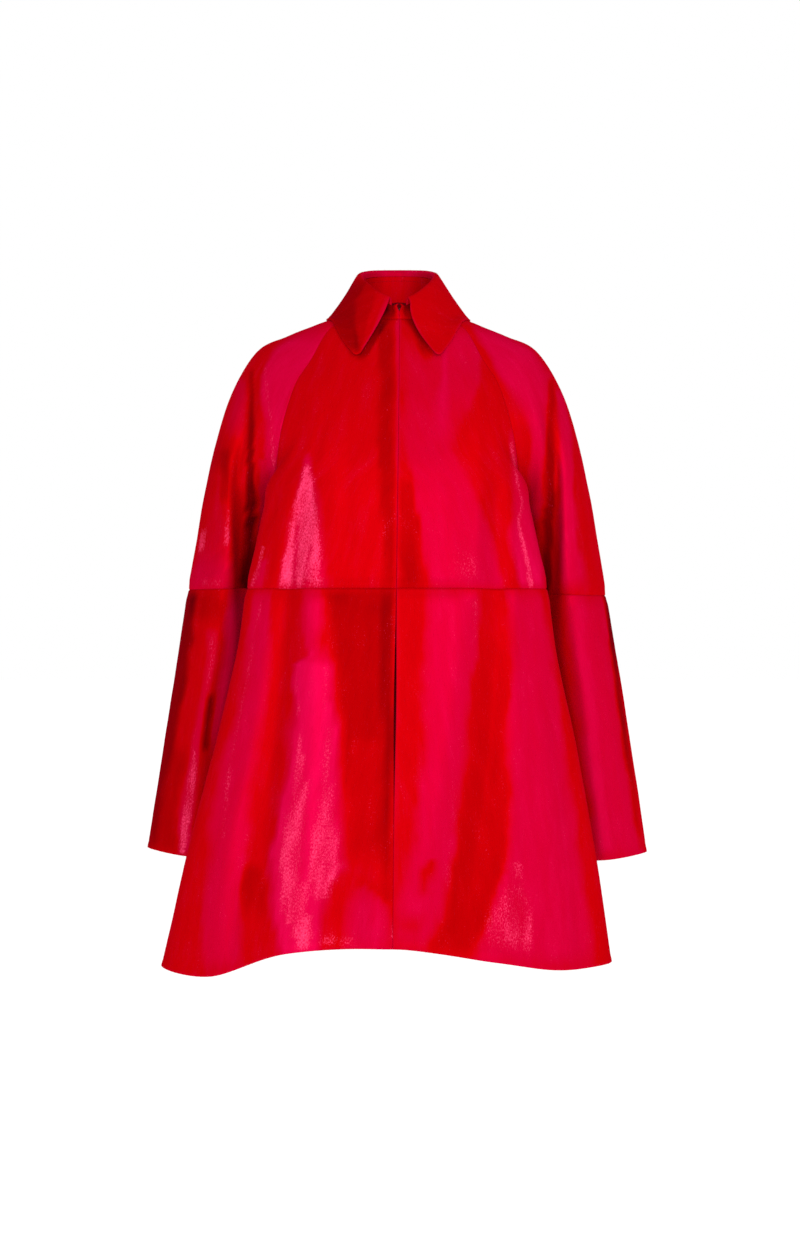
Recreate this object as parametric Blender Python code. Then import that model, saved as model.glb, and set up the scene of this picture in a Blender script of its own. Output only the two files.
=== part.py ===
"""An A-line coat with raglan sleeves and a turned-down pointed collar, filled out as if worn.

Every cut piece is its own thin-walled solid: two upper and two lower fronts, an upper and a lower
back, four pieces for each sleeve, a collar stand, a collar fall, and a hook and an eye at the neck.
Sizes are in millimetres here and become metres when a mesh is made. +X is to the right as one looks
at the front, +Y runs to the back and +Z is up. The origin is at the nape, on the neck seam.
"""

import math

import bmesh
import bpy
import numpy as np
from mathutils import Vector
from mathutils.bvhtree import BVHTree

MM = 0.001

# Cloth and making
WALL = 2.2              # thickness of the hair-on hide
SEAM_GAP = 0.3          # between two pieces at a seam
FRONT_GAP = 0.9         # between the two front edges
FRONT_GAPE = 3.0        # how much further they stand apart where they gape
FRONT_GAPE_Z = -545.0   # height at which they gape most
FRONT_GAPE_SPREAD = 95.0

# Neck seam: a tilted ring, given by the angle from the centre front
NECK_HALF_WIDTH = 64.0
NECK_HALF_DEPTH = 65.5
NECK_CENTRE_Y = 3.5
NECK_DROP = 38.0        # how far the centre front lies under the nape
NECK_TILT_SHAPE = 0.7

# Collar
STAND_ROWS = 2
ROLL_RADIUS = 3.6       # outer radius of the fold along the top of the collar
ROLL_ROWS = 4
ROLL_TURN = 150.0       # how far the cloth turns over there, in degrees
FALL_ROWS = 4
FALL_SEAM_DROP = 5.0    # the seam of stand and fall is this far below the roll, on the inside
FALL_SEAM_GAP = 0.7
FALL_START = 2          # the fall begins this many points from the centre front
FALL_START_ANGLE = 12.0 # and its roll is at full height from this angle round the neck
FALL_LEAVE = 0.7        # how far the fall swings out as it leaves the roll, as a share of its length
FALL_ARRIVE = 1.05      # how straight it comes to its outer edge
FALL_CLEARANCE = 2.2    # between the fall and what it lies on

SIDES = ("left", "right")

# How many steps each stretch between two levels, and between two lines, is cut into
LEVEL_STEPS = (2, 2, 2, 3, 3, 2, 2, 2, 2, 2, 2, 2)
FRONT_STEPS = 3
BACK_STEPS = 4
SLEEVE_STEPS = 4
UNDERARM = 6            # index of the level where sleeve and body part
SEAM_LEVEL = 8          # index of the level of the cross seam
CUFF_LEVEL = 11
HEM_LEVEL = 12

# Angles round the neck seam, in degrees from the centre front, of the lines that start there
NECK_ANGLES = {
    "centre_front": 0, "front_ridge": 20, "front_outer": 34, "front_lobe": 47, "front_raglan": 60,
    "sleeve_front": 76, "overarm": 92, "sleeve_back": 107, "back_raglan": 123,
    "back_lobe": 141, "back_ridge": 160, "centre_back": 180,
}

# The body, one half: a row for each level from under the collar down, and a column for each line.
# Each cell is x, y, z. The outer edge is the raglan seam down to the underarm, then the side seam.
FRONT_LINES = ("centre_front", "front_ridge", "front_outer", "front_lobe")
FRONT = (
    ((0, -81, -75), (36, -77, -70), (52, -73, -65), (66, -67, -60)),
    ((0, -101, -120), (48, -97, -113), (69, -93, -108), (90, -85, -102)),
    ((0, -118, -165), (58, -114, -156), (83, -109, -150), (108, -100, -143)),
    ((0, -133, -225), (72, -129, -216), (102, -124, -211), (128, -111, -206)),
    ((0, -139, -266), (82, -135, -260), (133, -118, -257), (168, -82, -254)),
    ((0, -142, -296), (88, -138, -293), (143, -119, -291), (176, -76, -290)),
    ((0, -147, -342), (96, -143, -342), (154, -121, -342), (187, -78, -342)),
    ((0, -152, -396), (106, -147, -396), (165, -122, -396), (199, -82, -396)),
    ((0, -160, -480), (110, -156, -480), (174, -129, -481), (210, -87, -481)),
    ((0, -172, -598), (118, -169, -600), (192, -142, -603), (237, -96, -603)),
    ((0, -185, -727), (128, -182, -734), (216, -155, -745), (267, -105, -742)),
    ((0, -196, -856), (134, -192, -864), (226, -167, -896), (294, -112, -889.5)),
)
BACK_LINES = ("back_lobe", "back_ridge", "centre_back")
BACK = (
    ((66, 86, -38), (34, 97, -37), (0, 100, -36)),
    ((88, 108, -86), (46, 120, -86), (0, 122, -87)),
    ((105, 121, -134), (56, 132, -138), (0, 134, -140)),
    ((126, 129, -204), (66, 143, -212), (0, 146, -215)),
    ((166, 100, -257), (76, 147, -262), (0, 150, -264)),
    ((173, 93, -290), (80, 149, -294), (0, 152, -295)),
    ((183, 96, -342), (87, 153, -342), (0, 156, -342)),
    ((194, 102, -396), (94, 158, -396), (0, 161, -396)),
    ((205, 108, -480), (103, 166, -480), (0, 170, -480)),
    ((225, 120, -601), (116, 178, -600), (0, 183, -599)),
    ((247, 134, -740), (130, 190, -735), (0, 196, -732)),
    ((288, 140, -886), (142, 199, -874), (0, 206, -868)),
)

# Where the sleeves join the body, from under the collar to the underarm, and the sleeve's own lines.
RAGLAN = (
    # front raglan      sleeve front       overarm          sleeve back       back raglan
    ((90, -51, -48), (102, -27, -40), (107, 3, -39), (103, 38, -38), (90, 70, -40)),
    ((115, -67, -92), (139, -36, -65), (148, 5, -54), (141, 54, -64), (117, 92, -84)),
    ((137, -78, -130), (172, -44, -93), (189, 8, -74), (174, 66, -94), (138, 105, -129)),
    ((155.5, -86, -197), (201, -58, -158), (223, 11, -129), (203, 80, -158), (155, 108, -195)),
    ((162, -42, -254), (219, -60, -226), (246, 13, -200), (220, 86, -226), (161, 60, -254)),
    ((151, 0, -281), (222, -58, -281), (263, 15, -277), (223, 86, -281), (151, 0, -281)),
)
RAGLAN_LINES = ("front_raglan", "sleeve_front", "overarm", "sleeve_back", "back_raglan")

# Below the underarm: the side seam of the body, down to the hem
SIDE_SEAM = ((148, 2, -342), (154, 4, -396), (164, 8, -480), (176, 12, -601), (200, 16, -738), (252, 20, -884))

# Below the underarm: the sleeve's tube, down to the cuff
TUBE = (
    # inner line         sleeve front       overarm           sleeve back
    ((172, 8, -342), (226, -57, -342), (274, 16, -342), (227, 84, -342)),
    ((177, 12, -396), (232, -56, -396), (284, 17, -396), (233, 82, -396)),
    ((186, 15, -480), (243, -51, -480), (296.5, 19, -480), (243, 82, -480)),
    ((199, 19, -602), (260, -46, -602), (316, 22, -600), (260, 84, -602)),
    ((216, 22, -755), (277, -42, -753), (338.5, 24, -746), (277, 86, -754)),
)
TUBE_LINES = ("inner", "sleeve_front", "overarm", "sleeve_back")

UNDERARM_ROUND = 6.0    # how far the sleeve swings out just below the underarm

# The edges of each surface that pass the underarm, as its first or last column
UNDERARM_EDGES = {"front": (-1,), "back": (0, -1), "sleeve_front": (0,), "sleeve_back": (-1,)}

# How sharply the cloth turns at the raglan seam and underarm on each level: 0 flows on, 1 folds
CREASE = (0, 0, 0, 0, 0, 0.9, 1, 0.4, 0, 0, 0, 0, 0)

# The side that is seen on the right has its cross seam on the sleeve lower, and its overarm seam forward
RIGHT_CROSS_SEAM_DROP = 8.0
RIGHT_CUFF_DROP = 5.0
RIGHT_OVERARM_FORWARD = (0, 0, 0, 0, 0, 0, 0, 0, 0, 6, 9, 10)
RIGHT_HEM_RISE = {"centre_front": -3.0, "front_ridge": -11.0, "front_outer": 8.0, "front_lobe": 5.5}

# The coat leans a little: how far its middle and its sides stand to the right, by height
LEAN_Z = (-888, -740, -600, -396, -120, 50)
LEAN_MIDDLE = (-5.5, -4.5, -3.0, -0.6, 2.8, 3.5)
LEAN_SIDES = (-13.5, -7.0, -1.3, 0, 0, 0)
LEAN_MIDDLE_REACH = 75.0
LEAN_SIDE_REACH = 200.0

# Large soft folds, a row for each: surface, side, first and last level, place across the surface at
# each end (0 to 1), half width at each end, and how far it stands out (+) or in (-) at each end
FOLDS = (
    ("front", "left", 4.2, 12.6, 0.41, 0.37, 0.11, 0.12, -4.0, -13.0),
    ("front", "left", 8.8, 12.6, 0.10, 0.13, 0.10, 0.11, -1.0, -8.0),
    ("front", "right", 4.0, 12.6, 0.50, 0.14, 0.11, 0.12, -4.0, -13.0),
    ("front", "right", 9.0, 12.6, 0.60, 0.62, 0.10, 0.11, -1.0, -8.0),
    ("back", "left", 5.0, 12.6, 0.55, 0.60, 0.10, 0.11, -4.0, -14.0),
    ("back", "right", 5.0, 12.6, 0.52, 0.56, 0.10, 0.12, -4.0, -15.0),
    ("back", "left", 6.5, 12.6, 0.84, 0.80, 0.09, 0.10, -2.0, -9.0),
    ("back", "right", 6.0, 12.6, 0.86, 0.84, 0.09, 0.10, -2.0, -9.0),
    ("sleeve_front", "left", 3.1, 9.5, 0.52, 0.16, 0.16, 0.16, -9.0, -13.0),
    ("sleeve_front", "right", 3.2, 9.3, 0.50, 0.18, 0.15, 0.16, -8.0, -12.0),
    ("sleeve_back", "left", 3.4, 9.5, 0.55, 0.82, 0.16, 0.16, -7.0, -11.0),
    ("sleeve_back", "right", 3.4, 9.5, 0.55, 0.82, 0.16, 0.16, -7.0, -11.0),
)

# The collar, one half: a row for each place. Columns are the angle round the neck from the centre
# front, the fold along the top, and the outer edge of the fall.
COLLAR = (
    (0, (4.5, -59, -17), (53, -93, -94)),
    (14, (12, -56, -9), (53, -93, -94)),
    (32, (25, -49, -1), (69, -76, -73)),
    (52, (38, -34, 10), (81, -46, -55)),
    (74, (49, -8, 23), (99, 0, -34)),
    (100, (51, 24, 34), (93, 45, -30)),
    (128, (41, 52, 41), (71, 81, -29)),
    (154, (24, 68, 44), (38, 100, -30)),
    (180, (0, 74, 45), (0, 106, -31)),
)

# Hook and eye, in the opening between the ends of the stand
WIRE = 0.9
HOOK_PLACE = (3.5, -55.0, -25.0)
EYE_WIDTH = 3.2
EYE_LENGTH = 5.0
EYE_STEPS = 6           # round its loop
HOOK_LENGTH = 7.0
HOOK_SHANK = 4.2        # where the hook's straight foot ends, from its bend
HOOK_REACH = 1.4
HOOK_TIP = 1.2
HOOK_STEPS = 5          # round its bend
HOOK_BEND = 1.12        # how far the bend stands past the loop

# How the wall is set in from its outer points
NEARLY_FLAT = 0.9
BALANCE_STEPS = 60
BALANCE_STEP = 0.06
MITRE_LIMIT = 1.5       # how many times the wall's thickness it may measure across a fold

FOLD_FADE = 0.08        # share of a surface's width over which its folds fade out at each side
FOLD_END = 0.25         # share of a fold's length over which it rises at each end

HIDE_RED = (0.62, 0.0, 0.015)
METAL_DARK = (0.12, 0.11, 0.11)


def clear_scene():
    for old in list(bpy.data.objects):
        bpy.data.objects.remove(old)


def finish(name, colour, roughness, metallic=0.0):
    made = bpy.data.materials.new(name)
    made.use_nodes = True
    shader = made.node_tree.nodes["Principled BSDF"]
    shader.inputs["Base Color"].default_value = (*colour, 1.0)
    shader.inputs["Roughness"].default_value = roughness
    shader.inputs["Metallic"].default_value = metallic
    made.diffuse_color = (*colour, 1.0)
    return made


# ---------------------------------------------------------------- curves

def hermite(start, end, leave, arrive, t):
    """A point of the cubic from start to end, with these tangents at its ends."""
    a = 2 * t**3 - 3 * t**2 + 1
    b = t**3 - 2 * t**2 + t
    c = -2 * t**3 + 3 * t**2
    d = t**3 - t**2
    return a * start + b * leave + c * end + d * arrive


def smooth_line(points, at):
    """The smooth curve through points at each place in at, which counts from 0 at the first point."""
    points = np.asarray(points, float)
    slopes = np.empty_like(points)
    slopes[1:-1] = (points[2:] - points[:-2]) / 2
    slopes[0] = points[1] - points[0]
    slopes[-1] = points[-1] - points[-2]
    out = []
    for place in at:
        i = int(min(max(math.floor(place), 0), len(points) - 2))
        out.append(hermite(points[i], points[i + 1], slopes[i], slopes[i + 1], place - i))
    return np.array(out)


def steps_between(counts, first, last):
    """Places from level first to level last, with each stretch cut into its count of steps."""
    places = [float(first)]
    for level in range(first, last):
        places += [level + (k + 1) / counts[level] for k in range(counts[level])]
    return np.array(places)


def neck_point(angle):
    """A point of the neck seam on the right half, for an angle from the centre front in degrees."""
    a = math.radians(angle)
    x = NECK_HALF_WIDTH * math.sin(a)
    y = NECK_CENTRE_Y - NECK_HALF_DEPTH * math.cos(a)
    z = -NECK_DROP * ((1 + math.cos(a)) / 2) ** NECK_TILT_SHAPE
    return np.array([x, y, z])


# ---------------------------------------------------------------- the coat's lines

def lines_of(side):
    """Each line that runs down one side of the coat, as its points at the levels it passes."""
    lines = {name: [neck_point(angle)] for name, angle in NECK_ANGLES.items()}
    for names, table in ((FRONT_LINES, FRONT), (BACK_LINES, BACK), (RAGLAN_LINES, RAGLAN)):
        for row in table:
            for name, point in zip(names, row):
                lines[name].append(np.array(point, float))
    underarm = np.array(RAGLAN[-1][0], float)
    lines["inner"] = [underarm]
    for row in TUBE:
        for name, point in zip(TUBE_LINES, row):
            lines[name].append(np.array(point, float))
    lines["side_seam"] = [underarm] + [np.array(point, float) for point in SIDE_SEAM]
    if side == "right":
        for name in TUBE_LINES:
            first = UNDERARM if name == "inner" else 0
            lines[name][SEAM_LEVEL - first][2] -= RIGHT_CROSS_SEAM_DROP
            lines[name][CUFF_LEVEL - first][2] -= RIGHT_CUFF_DROP
        for name, rise in RIGHT_HEM_RISE.items():
            lines[name][HEM_LEVEL][2] += rise
        for level, forward in enumerate(RIGHT_OVERARM_FORWARD):
            lines["overarm"][level][1] -= forward
    return lines


def edge_points(lines, raglan, below, levels):
    """A panel's edge: the raglan seam down to the underarm, then the line that follows it there."""
    above = smooth_line(lines[raglan], levels[levels <= UNDERARM])
    past = levels[levels > UNDERARM] - UNDERARM
    under = smooth_line(lines[below], past)
    if below == "inner":
        under[:, 0] += UNDERARM_ROUND * swell(2 * past - 1) * (past < 1)
    return np.concatenate([above, under])


def lean(points, side, body=True):
    """Points of the right half taken to their side, with the coat's small lean."""
    points = np.array(points, float)
    z = points[..., 2]
    reach = np.abs(points[..., 0])
    near_middle = 1 - np.clip(reach / LEAN_MIDDLE_REACH, 0, 1)
    shift = np.interp(z, LEAN_Z, LEAN_MIDDLE) * near_middle
    if body:
        shift = shift + np.interp(z, LEAN_Z, LEAN_SIDES) * np.clip(reach / LEAN_SIDE_REACH, 0, 1)
    if side == "left":
        points[..., 0] *= -1
    points[..., 0] += shift
    return points


def across(before, points, after, leave, arrive, steps):
    """Samples of the smooth curve through points, steps to a stretch. before and after are the neighbours
    past its ends. leave and arrive say how sharply it turns there: 0 flows on, 1 ignores the neighbour."""
    slopes = [None] * len(points)
    for i in range(1, len(points) - 1):
        slopes[i] = (points[i + 1] - points[i - 1]) / 2
    slopes[0] = (1 - leave) * (points[1] - before) / 2 + leave * (points[1] - points[0])
    slopes[-1] = (1 - arrive) * (after - points[-2]) / 2 + arrive * (points[-1] - points[-2])
    samples = [points[0]]
    for i in range(len(points) - 1):
        for k in range(1, steps + 1):
            samples.append(hermite(points[i], points[i + 1], slopes[i], slopes[i + 1], k / steps))
    return samples


def mirrored(point):
    return point * np.array([-1, 1, 1])


def surfaces_of(side, body_levels, sleeve_levels):
    """The four outer surfaces of one side as grids of points, a row for each level."""
    lines = lines_of(side)
    at = {name: smooth_line(lines[name], body_levels) for name in FRONT_LINES + BACK_LINES}
    at.update({name: smooth_line(lines[name], sleeve_levels) for name in TUBE_LINES[1:]})
    body_edge, arm_edge = {}, {}
    for end in ("front", "back"):
        body_edge[end] = edge_points(lines, end + "_raglan", "side_seam", body_levels)
        arm_edge[end] = edge_points(lines, end + "_raglan", "inner", sleeve_levels)
    crease = np.interp(body_levels, range(len(CREASE)), CREASE)
    grids = {"front": [], "back": [], "sleeve_front": [], "sleeve_back": []}
    for i, level in enumerate(body_levels):
        joined = level <= UNDERARM
        front = [at[name][i] for name in FRONT_LINES] + [body_edge["front"][i]]
        back = [body_edge["back"][i]] + [at[name][i] for name in BACK_LINES]
        past_front = at["sleeve_front"][i] if joined else back[1]
        past_back = at["sleeve_back"][i] if joined else front[-2]
        grids["front"].append(across(mirrored(front[1]), front, past_front, 0, crease[i], FRONT_STEPS))
        grids["back"].append(across(past_back, back, mirrored(back[-2]), crease[i], 0, BACK_STEPS))
        if i >= len(sleeve_levels):
            continue
        arm = [arm_edge["front"][i]] + [at[name][i] for name in TUBE_LINES[1:]] + [arm_edge["back"][i]]
        before = front[-2] if joined else arm[-2]
        after = back[1] if joined else arm[1]
        samples = across(before, arm, after, crease[i], crease[i], SLEEVE_STEPS)
        middle = 2 * SLEEVE_STEPS
        grids["sleeve_front"].append(samples[: middle + 1])
        grids["sleeve_back"].append(samples[middle:])
    return {name: lean(rows, side, not name.startswith("sleeve")) for name, rows in grids.items()}


# ---------------------------------------------------------------- folds and walls

def seam_key(point):
    return tuple(np.round(point, 2))


def balanced(faces):
    """The way out that lies evenly between the faces round a point, long enough to keep the wall's thickness
    where they meet at a fold."""
    way = np.sum(faces, axis=0)
    for _ in range(BALANCE_STEPS):
        way = way / np.linalg.norm(way)
        along = [np.dot(way, face) for face in faces]
        if min(along) > NEARLY_FLAT:
            break
        way = way + faces[int(np.argmin(along))] * BALANCE_STEP
    way = way / np.linalg.norm(way)
    least = min(np.dot(way, face) for face in faces)
    return way / np.clip(least, 1 / MITRE_LIMIT, 1)


def outward_ways(grids):
    """The way out at each point of every grid, shared where grids meet. turned grids face the other way."""
    around = {}
    for grid, turned in grids:
        face = np.cross(grid[1:, 1:] - grid[:-1, :-1], grid[:-1, 1:] - grid[1:, :-1]) * (-1 if turned else 1)
        face = face / np.linalg.norm(face, axis=2, keepdims=True)
        for i, j in np.ndindex(face.shape[:2]):
            for corner in ((i, j), (i + 1, j), (i, j + 1), (i + 1, j + 1)):
                around.setdefault(seam_key(grid[corner]), []).append(face[i, j])
    ways = {key: balanced(faces) for key, faces in around.items()}
    return [np.array([[ways[seam_key(point)] for point in row] for row in grid]) for grid, _ in grids]


def swell(t):
    """A soft bump: 1 at t 0, falling smoothly to 0 at t -1 and 1."""
    return (1 - np.clip(t, -1, 1) ** 2) ** 2


def folded(grid, ways, surface, side, levels):
    """The grid with this surface's folds raised from it. They fade out at its seams."""
    place = np.linspace(0, 1, grid.shape[1])
    from_edge = np.clip(np.minimum(place, 1 - place) / FOLD_FADE, 0, 1)
    lift = np.zeros(grid.shape[:2])
    for name, which, top, bottom, s0, s1, w0, w1, d0, d1 in FOLDS:
        if name != surface or which != side:
            continue
        t = np.clip((levels - top) / (bottom - top), 0, 1)
        ends = np.clip(np.minimum(t, 1 - t) / FOLD_END, 0, 1)
        depth = (d0 + (d1 - d0) * t) * ends * ends * (3 - 2 * ends)
        centre = s0 + (s1 - s0) * t
        width = w0 + (w1 - w0) * t
        lift += depth[:, None] * swell((place[None, :] - centre[:, None]) / width[:, None])
    unit = ways / np.linalg.norm(ways, axis=2, keepdims=True)
    return grid + unit * (lift * from_edge)[..., None]


def run_of(edge, underarm=None):
    """The direction of an edge at each of its points. At the row underarm it is that of the stretch above."""
    way = np.gradient(edge, axis=0)
    if underarm is not None:
        way[underarm] = edge[underarm] - edge[underarm - 1]
    return way


def set_back(edge, beside, ways, gap, underarm=None):
    """How far an edge's points move to stand back from their seam, square to the seam and along the cloth."""
    square = np.cross(ways, run_of(edge, underarm))
    square = square / np.linalg.norm(square, axis=1, keepdims=True)
    toward = np.sign(np.sum(square * (beside - edge), axis=1, keepdims=True))
    return square * toward * np.reshape(gap, (-1, 1))


def parted(grid, ways, top=0.0, bottom=0.0, left=0.0, right=0.0, underarm=None, through=()):
    """The grid with its four edges set back by these gaps. underarm is the row of the underarm, and through
    names the edge columns that pass it: their point there stands back from the side seam as well."""
    out = grid.copy()
    out[0] += set_back(grid[0], grid[1], ways[0], top)
    out[-1] += set_back(grid[-1], grid[-2], ways[-1], bottom)
    for column, inner, gap in ((0, 1, left), (-1, -2, right)):
        split = underarm if column in through else None
        out[:, column] += set_back(grid[:, column], grid[:, inner], ways[:, column], gap, split)
        if split is not None:
            away = np.sign(np.mean(grid[split, :, 1]) - grid[split, column, 1])
            out[split, column, 1] += away * SEAM_GAP / 2
    return out


def wall(name, outer, ways, turned, material):
    """A closed thin-walled solid: the outer grid, the same grid set in by the thickness, and a rim. The rim's
    faces are split the same way on both sides of a seam, so that they stay parallel."""
    inner = outer - ways * WALL
    rows, columns = outer.shape[:2]
    mesh = bmesh.new()
    skins = []
    for sheet in (outer, inner):
        skins.append([[mesh.verts.new(sheet[i, j] * MM) for j in range(columns)] for i in range(rows)])
    front, back = skins

    def face(*corners):
        made = mesh.faces.new(corners if turned else corners[::-1])
        made.smooth = True

    for i in range(rows - 1):
        for j in range(columns - 1):
            face(front[i][j], front[i][j + 1], front[i + 1][j + 1], front[i + 1][j])
            face(back[i][j], back[i + 1][j], back[i + 1][j + 1], back[i][j + 1])
    rim = [(0, j) for j in range(columns)] + [(i, columns - 1) for i in range(1, rows)]
    rim += [(rows - 1, j) for j in range(columns - 2, -1, -1)] + [(i, 0) for i in range(rows - 2, 0, -1)]
    for (i, j), (k, m) in zip(rim, rim[1:] + rim[:1]):
        near, near_in, far, far_in = front[i][j], back[i][j], front[k][m], back[k][m]
        run = outer[k, m] - outer[i, j]
        if run[int(np.argmax(np.abs(run)))] > 0:
            face(far, near, near_in)
            face(far, near_in, far_in)
        else:
            face(far, near, far_in)
            face(near, near_in, far_in)
    data = bpy.data.meshes.new(name)
    mesh.to_mesh(data)
    mesh.free()
    data.materials.append(material)
    placed = bpy.data.objects.new(name, data)
    bpy.context.scene.collection.objects.link(placed)
    return placed


# ---------------------------------------------------------------- collar

def collar_lines(angle, side):
    """The fold and the outer edge of the collar at an angle round the neck, and the way out from it."""
    angles, folds, edges = zip(*COLLAR)
    nearby = np.clip([angle - 1, angle, angle + 1], 0, 180)
    places = np.interp(nearby, angles, range(len(angles)))
    before, fold, after = lean(smooth_line(folds, places), side)
    edge = lean(smooth_line(edges, places[1:2]), side)[0]
    out = np.cross(after - before, (0, 0, 1)) * (1 if side == "right" else -1)
    return fold, edge, out / np.linalg.norm(out)


def collar_section(base, angle, side):
    """The stand and the fall at one place round the neck, as rows of points: the stand from the neck seam
    up, and the fall from the stand's top over the roll and down to its outer edge."""
    fold, edge, out = collar_lines(angle, side)
    up = np.array([0, 0, 1.0])
    centre = fold - up * ROLL_RADIUS
    inside = centre - out * ROLL_RADIUS - up * FALL_SEAM_DROP
    bare = np.clip(1 - angle / FALL_START_ANGLE, 0, 1)
    stand_top = inside + out * WALL + up * bare * (ROLL_RADIUS + FALL_SEAM_DROP)
    stand = [base + (stand_top - base) * k / STAND_ROWS for k in range(STAND_ROWS + 1)]
    fall = [inside]
    for k in range(ROLL_ROWS + 1):
        turn = math.radians(180 - ROLL_TURN * k / ROLL_ROWS)
        fall.append(centre + ROLL_RADIUS * (out * math.cos(turn) + up * math.sin(turn)))
    start = fall[-1]
    length = np.linalg.norm(edge - start)
    leave = (start - fall[-2]) / np.linalg.norm(start - fall[-2]) * length
    for k in range(1, FALL_ROWS + 1):
        fall.append(hermite(start, edge, leave * FALL_LEAVE, (edge - start) * FALL_ARRIVE, k / FALL_ROWS))
    return stand, fall


def laid_over(points, tree, need, first_row):
    """Rows of points from first_row on moved out until each stands need or more off the surfaces of tree."""
    out = points.copy()
    for i in range(first_row, points.shape[0]):
        for j in range(points.shape[1]):
            point = Vector(points[i, j])
            nearest, normal, _, _ = tree.find_nearest(point)
            short = need - (point - nearest).dot(normal)
            if short > 0:
                out[i, j] += np.array(normal) * short
    return out


def surface_tree(grids):
    """A search tree of the outer surfaces that the collar lies on. Its faces look outward."""
    corners, faces = [], []
    for grid, turned in grids:
        first = len(corners)
        rows, columns = grid.shape[:2]
        corners += [Vector(point) for point in grid.reshape(-1, 3)]
        for i in range(rows - 1):
            for j in range(columns - 1):
                a = first + i * columns + j
                face = (a, a + 1, a + columns + 1, a + columns)
                faces.append(face if turned else face[::-1])
    return BVHTree.FromPolygons(corners, faces)


# ---------------------------------------------------------------- hook and eye

def wire(name, points, material):
    """A bent round wire through points, in millimetres, as a closed tube."""
    path = bpy.data.curves.new(name, "CURVE")
    path.dimensions = "3D"
    path.bevel_depth = WIRE / 2 * MM
    path.bevel_resolution = 1
    path.use_fill_caps = True
    line = path.splines.new("POLY")
    line.points.add(len(points) - 1)
    for slot, point in zip(line.points, points):
        slot.co = (*(np.array(point, float) * MM), 1.0)
    path.materials.append(material)
    placed = bpy.data.objects.new(name, path)
    bpy.context.scene.collection.objects.link(placed)
    return placed


def hook_and_eye(material):
    """The fastening of the stand's ends: a loop on the right end, and a hook on the left that is through it."""
    at = np.array(HOOK_PLACE)
    half = EYE_WIDTH / 2
    eye = [(EYE_LENGTH, 0, half)]
    for k in range(EYE_STEPS + 1):
        turn = math.radians(90 + 180 * k / EYE_STEPS)
        eye.append((half * math.cos(turn), 0, half * math.sin(turn)))
    eye.append((EYE_LENGTH, 0, -half))
    wire("neck_eye", [at + point for point in eye], material)
    reach = HOOK_REACH
    hook = [(-HOOK_LENGTH, 0, 0), (-HOOK_SHANK, 0, 0), (-half - WIRE, reach, 0), (0, reach, 0)]
    for k in range(1, HOOK_STEPS):
        turn = math.radians(90 - 180 * k / HOOK_STEPS)
        hook.append((HOOK_BEND * math.cos(turn), reach * math.sin(turn), 0))
    hook += [(0, -reach, 0), (-HOOK_TIP, -reach, 0)]
    wire("neck_hook", [at + point for point in hook], material)


# ---------------------------------------------------------------- the coat

def joined_across(left, right):
    """One grid from side to side, out of two halves that end at the middle."""
    return np.concatenate([left, right[:, -2::-1]], axis=1)


def neck_angles():
    """The angle round the neck of each point that the panels have on one half of the neck seam."""
    row = [neck_point(angle) for angle in NECK_ANGLES.values()]
    first, last = len(FRONT_LINES), len(FRONT_LINES) + len(TUBE_LINES)
    front = across(mirrored(row[1]), row[:first + 1], row[first + 1], 0, 0, FRONT_STEPS)
    arm = across(row[first - 1], row[first:last + 1], row[last + 1], 0, 0, SLEEVE_STEPS)
    back = across(row[last - 1], row[last:], mirrored(row[-2]), 0, 0, BACK_STEPS)
    ring = np.array(front + arm[1:] + back[1:])
    return np.degrees(np.arctan2(ring[:, 0] / NECK_HALF_WIDTH, (NECK_CENTRE_Y - ring[:, 1]) / NECK_HALF_DEPTH))


def body_and_sleeves(body_levels, sleeve_levels):
    """Every outer surface of the body and the sleeves with its folds, by name and side."""
    grids = {}
    for side in SIDES:
        for name, grid in surfaces_of(side, body_levels, sleeve_levels).items():
            grids[name, side] = grid
    plain = outward_ways([(grid, side == "left") for (_, side), grid in grids.items()])
    for (name, side), ways in zip(list(grids), plain):
        levels = sleeve_levels if name.startswith("sleeve") else body_levels
        grids[name, side] = folded(grids[name, side], ways, name, side, levels)
    return grids


def collar(grids):
    """The stand and the fall from side to side, on the neck seam that the panels make."""
    stands, falls = {}, {}
    for side in SIDES:
        neck = [grids["front", side][0]]
        neck += [grids[name, side][0][1:] for name in ("sleeve_front", "sleeve_back", "back")]
        places = zip(np.concatenate(neck), neck_angles())
        sections = [collar_section(base, angle, side) for base, angle in places]
        stands[side] = np.array([stand[::-1] for stand, _ in sections]).transpose(1, 0, 2)
        falls[side] = np.array([fall for _, fall in sections[FALL_START:]]).transpose(1, 0, 2)
    return joined_across(*stands.values()), joined_across(*falls.values())


def front_gaps(heights):
    """How far a front edge stands from the middle at each height."""
    return (FRONT_GAP + FRONT_GAPE * np.exp(-(((heights - FRONT_GAPE_Z) / FRONT_GAPE_SPREAD) ** 2))) / 2


def panels(name, side, grid, ways, turned, rows, material):
    """The upper and the lower piece of one surface, cut at the cross seam."""
    gap = SEAM_GAP / 2
    centre = front_gaps(grid[:, 0, 2]) if name == "front" else gap
    seam, underarm = rows
    whole = parted(grid, ways, top=gap, left=centre, right=gap, underarm=underarm, through=UNDERARM_EDGES[name])
    ending = "" if side == "both" else "_" + side
    upper, lower = whole[: seam + 1].copy(), whole[seam:].copy()
    upper[-1] += set_back(upper[-1], upper[-2], ways[seam], gap)
    lower[0] += set_back(lower[0], lower[1], ways[seam], gap)
    wall(f"{name}_upper{ending}", upper, ways[: seam + 1], turned, material)
    wall(f"{name}_lower{ending}", lower, ways[seam:], turned, material)


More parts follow.
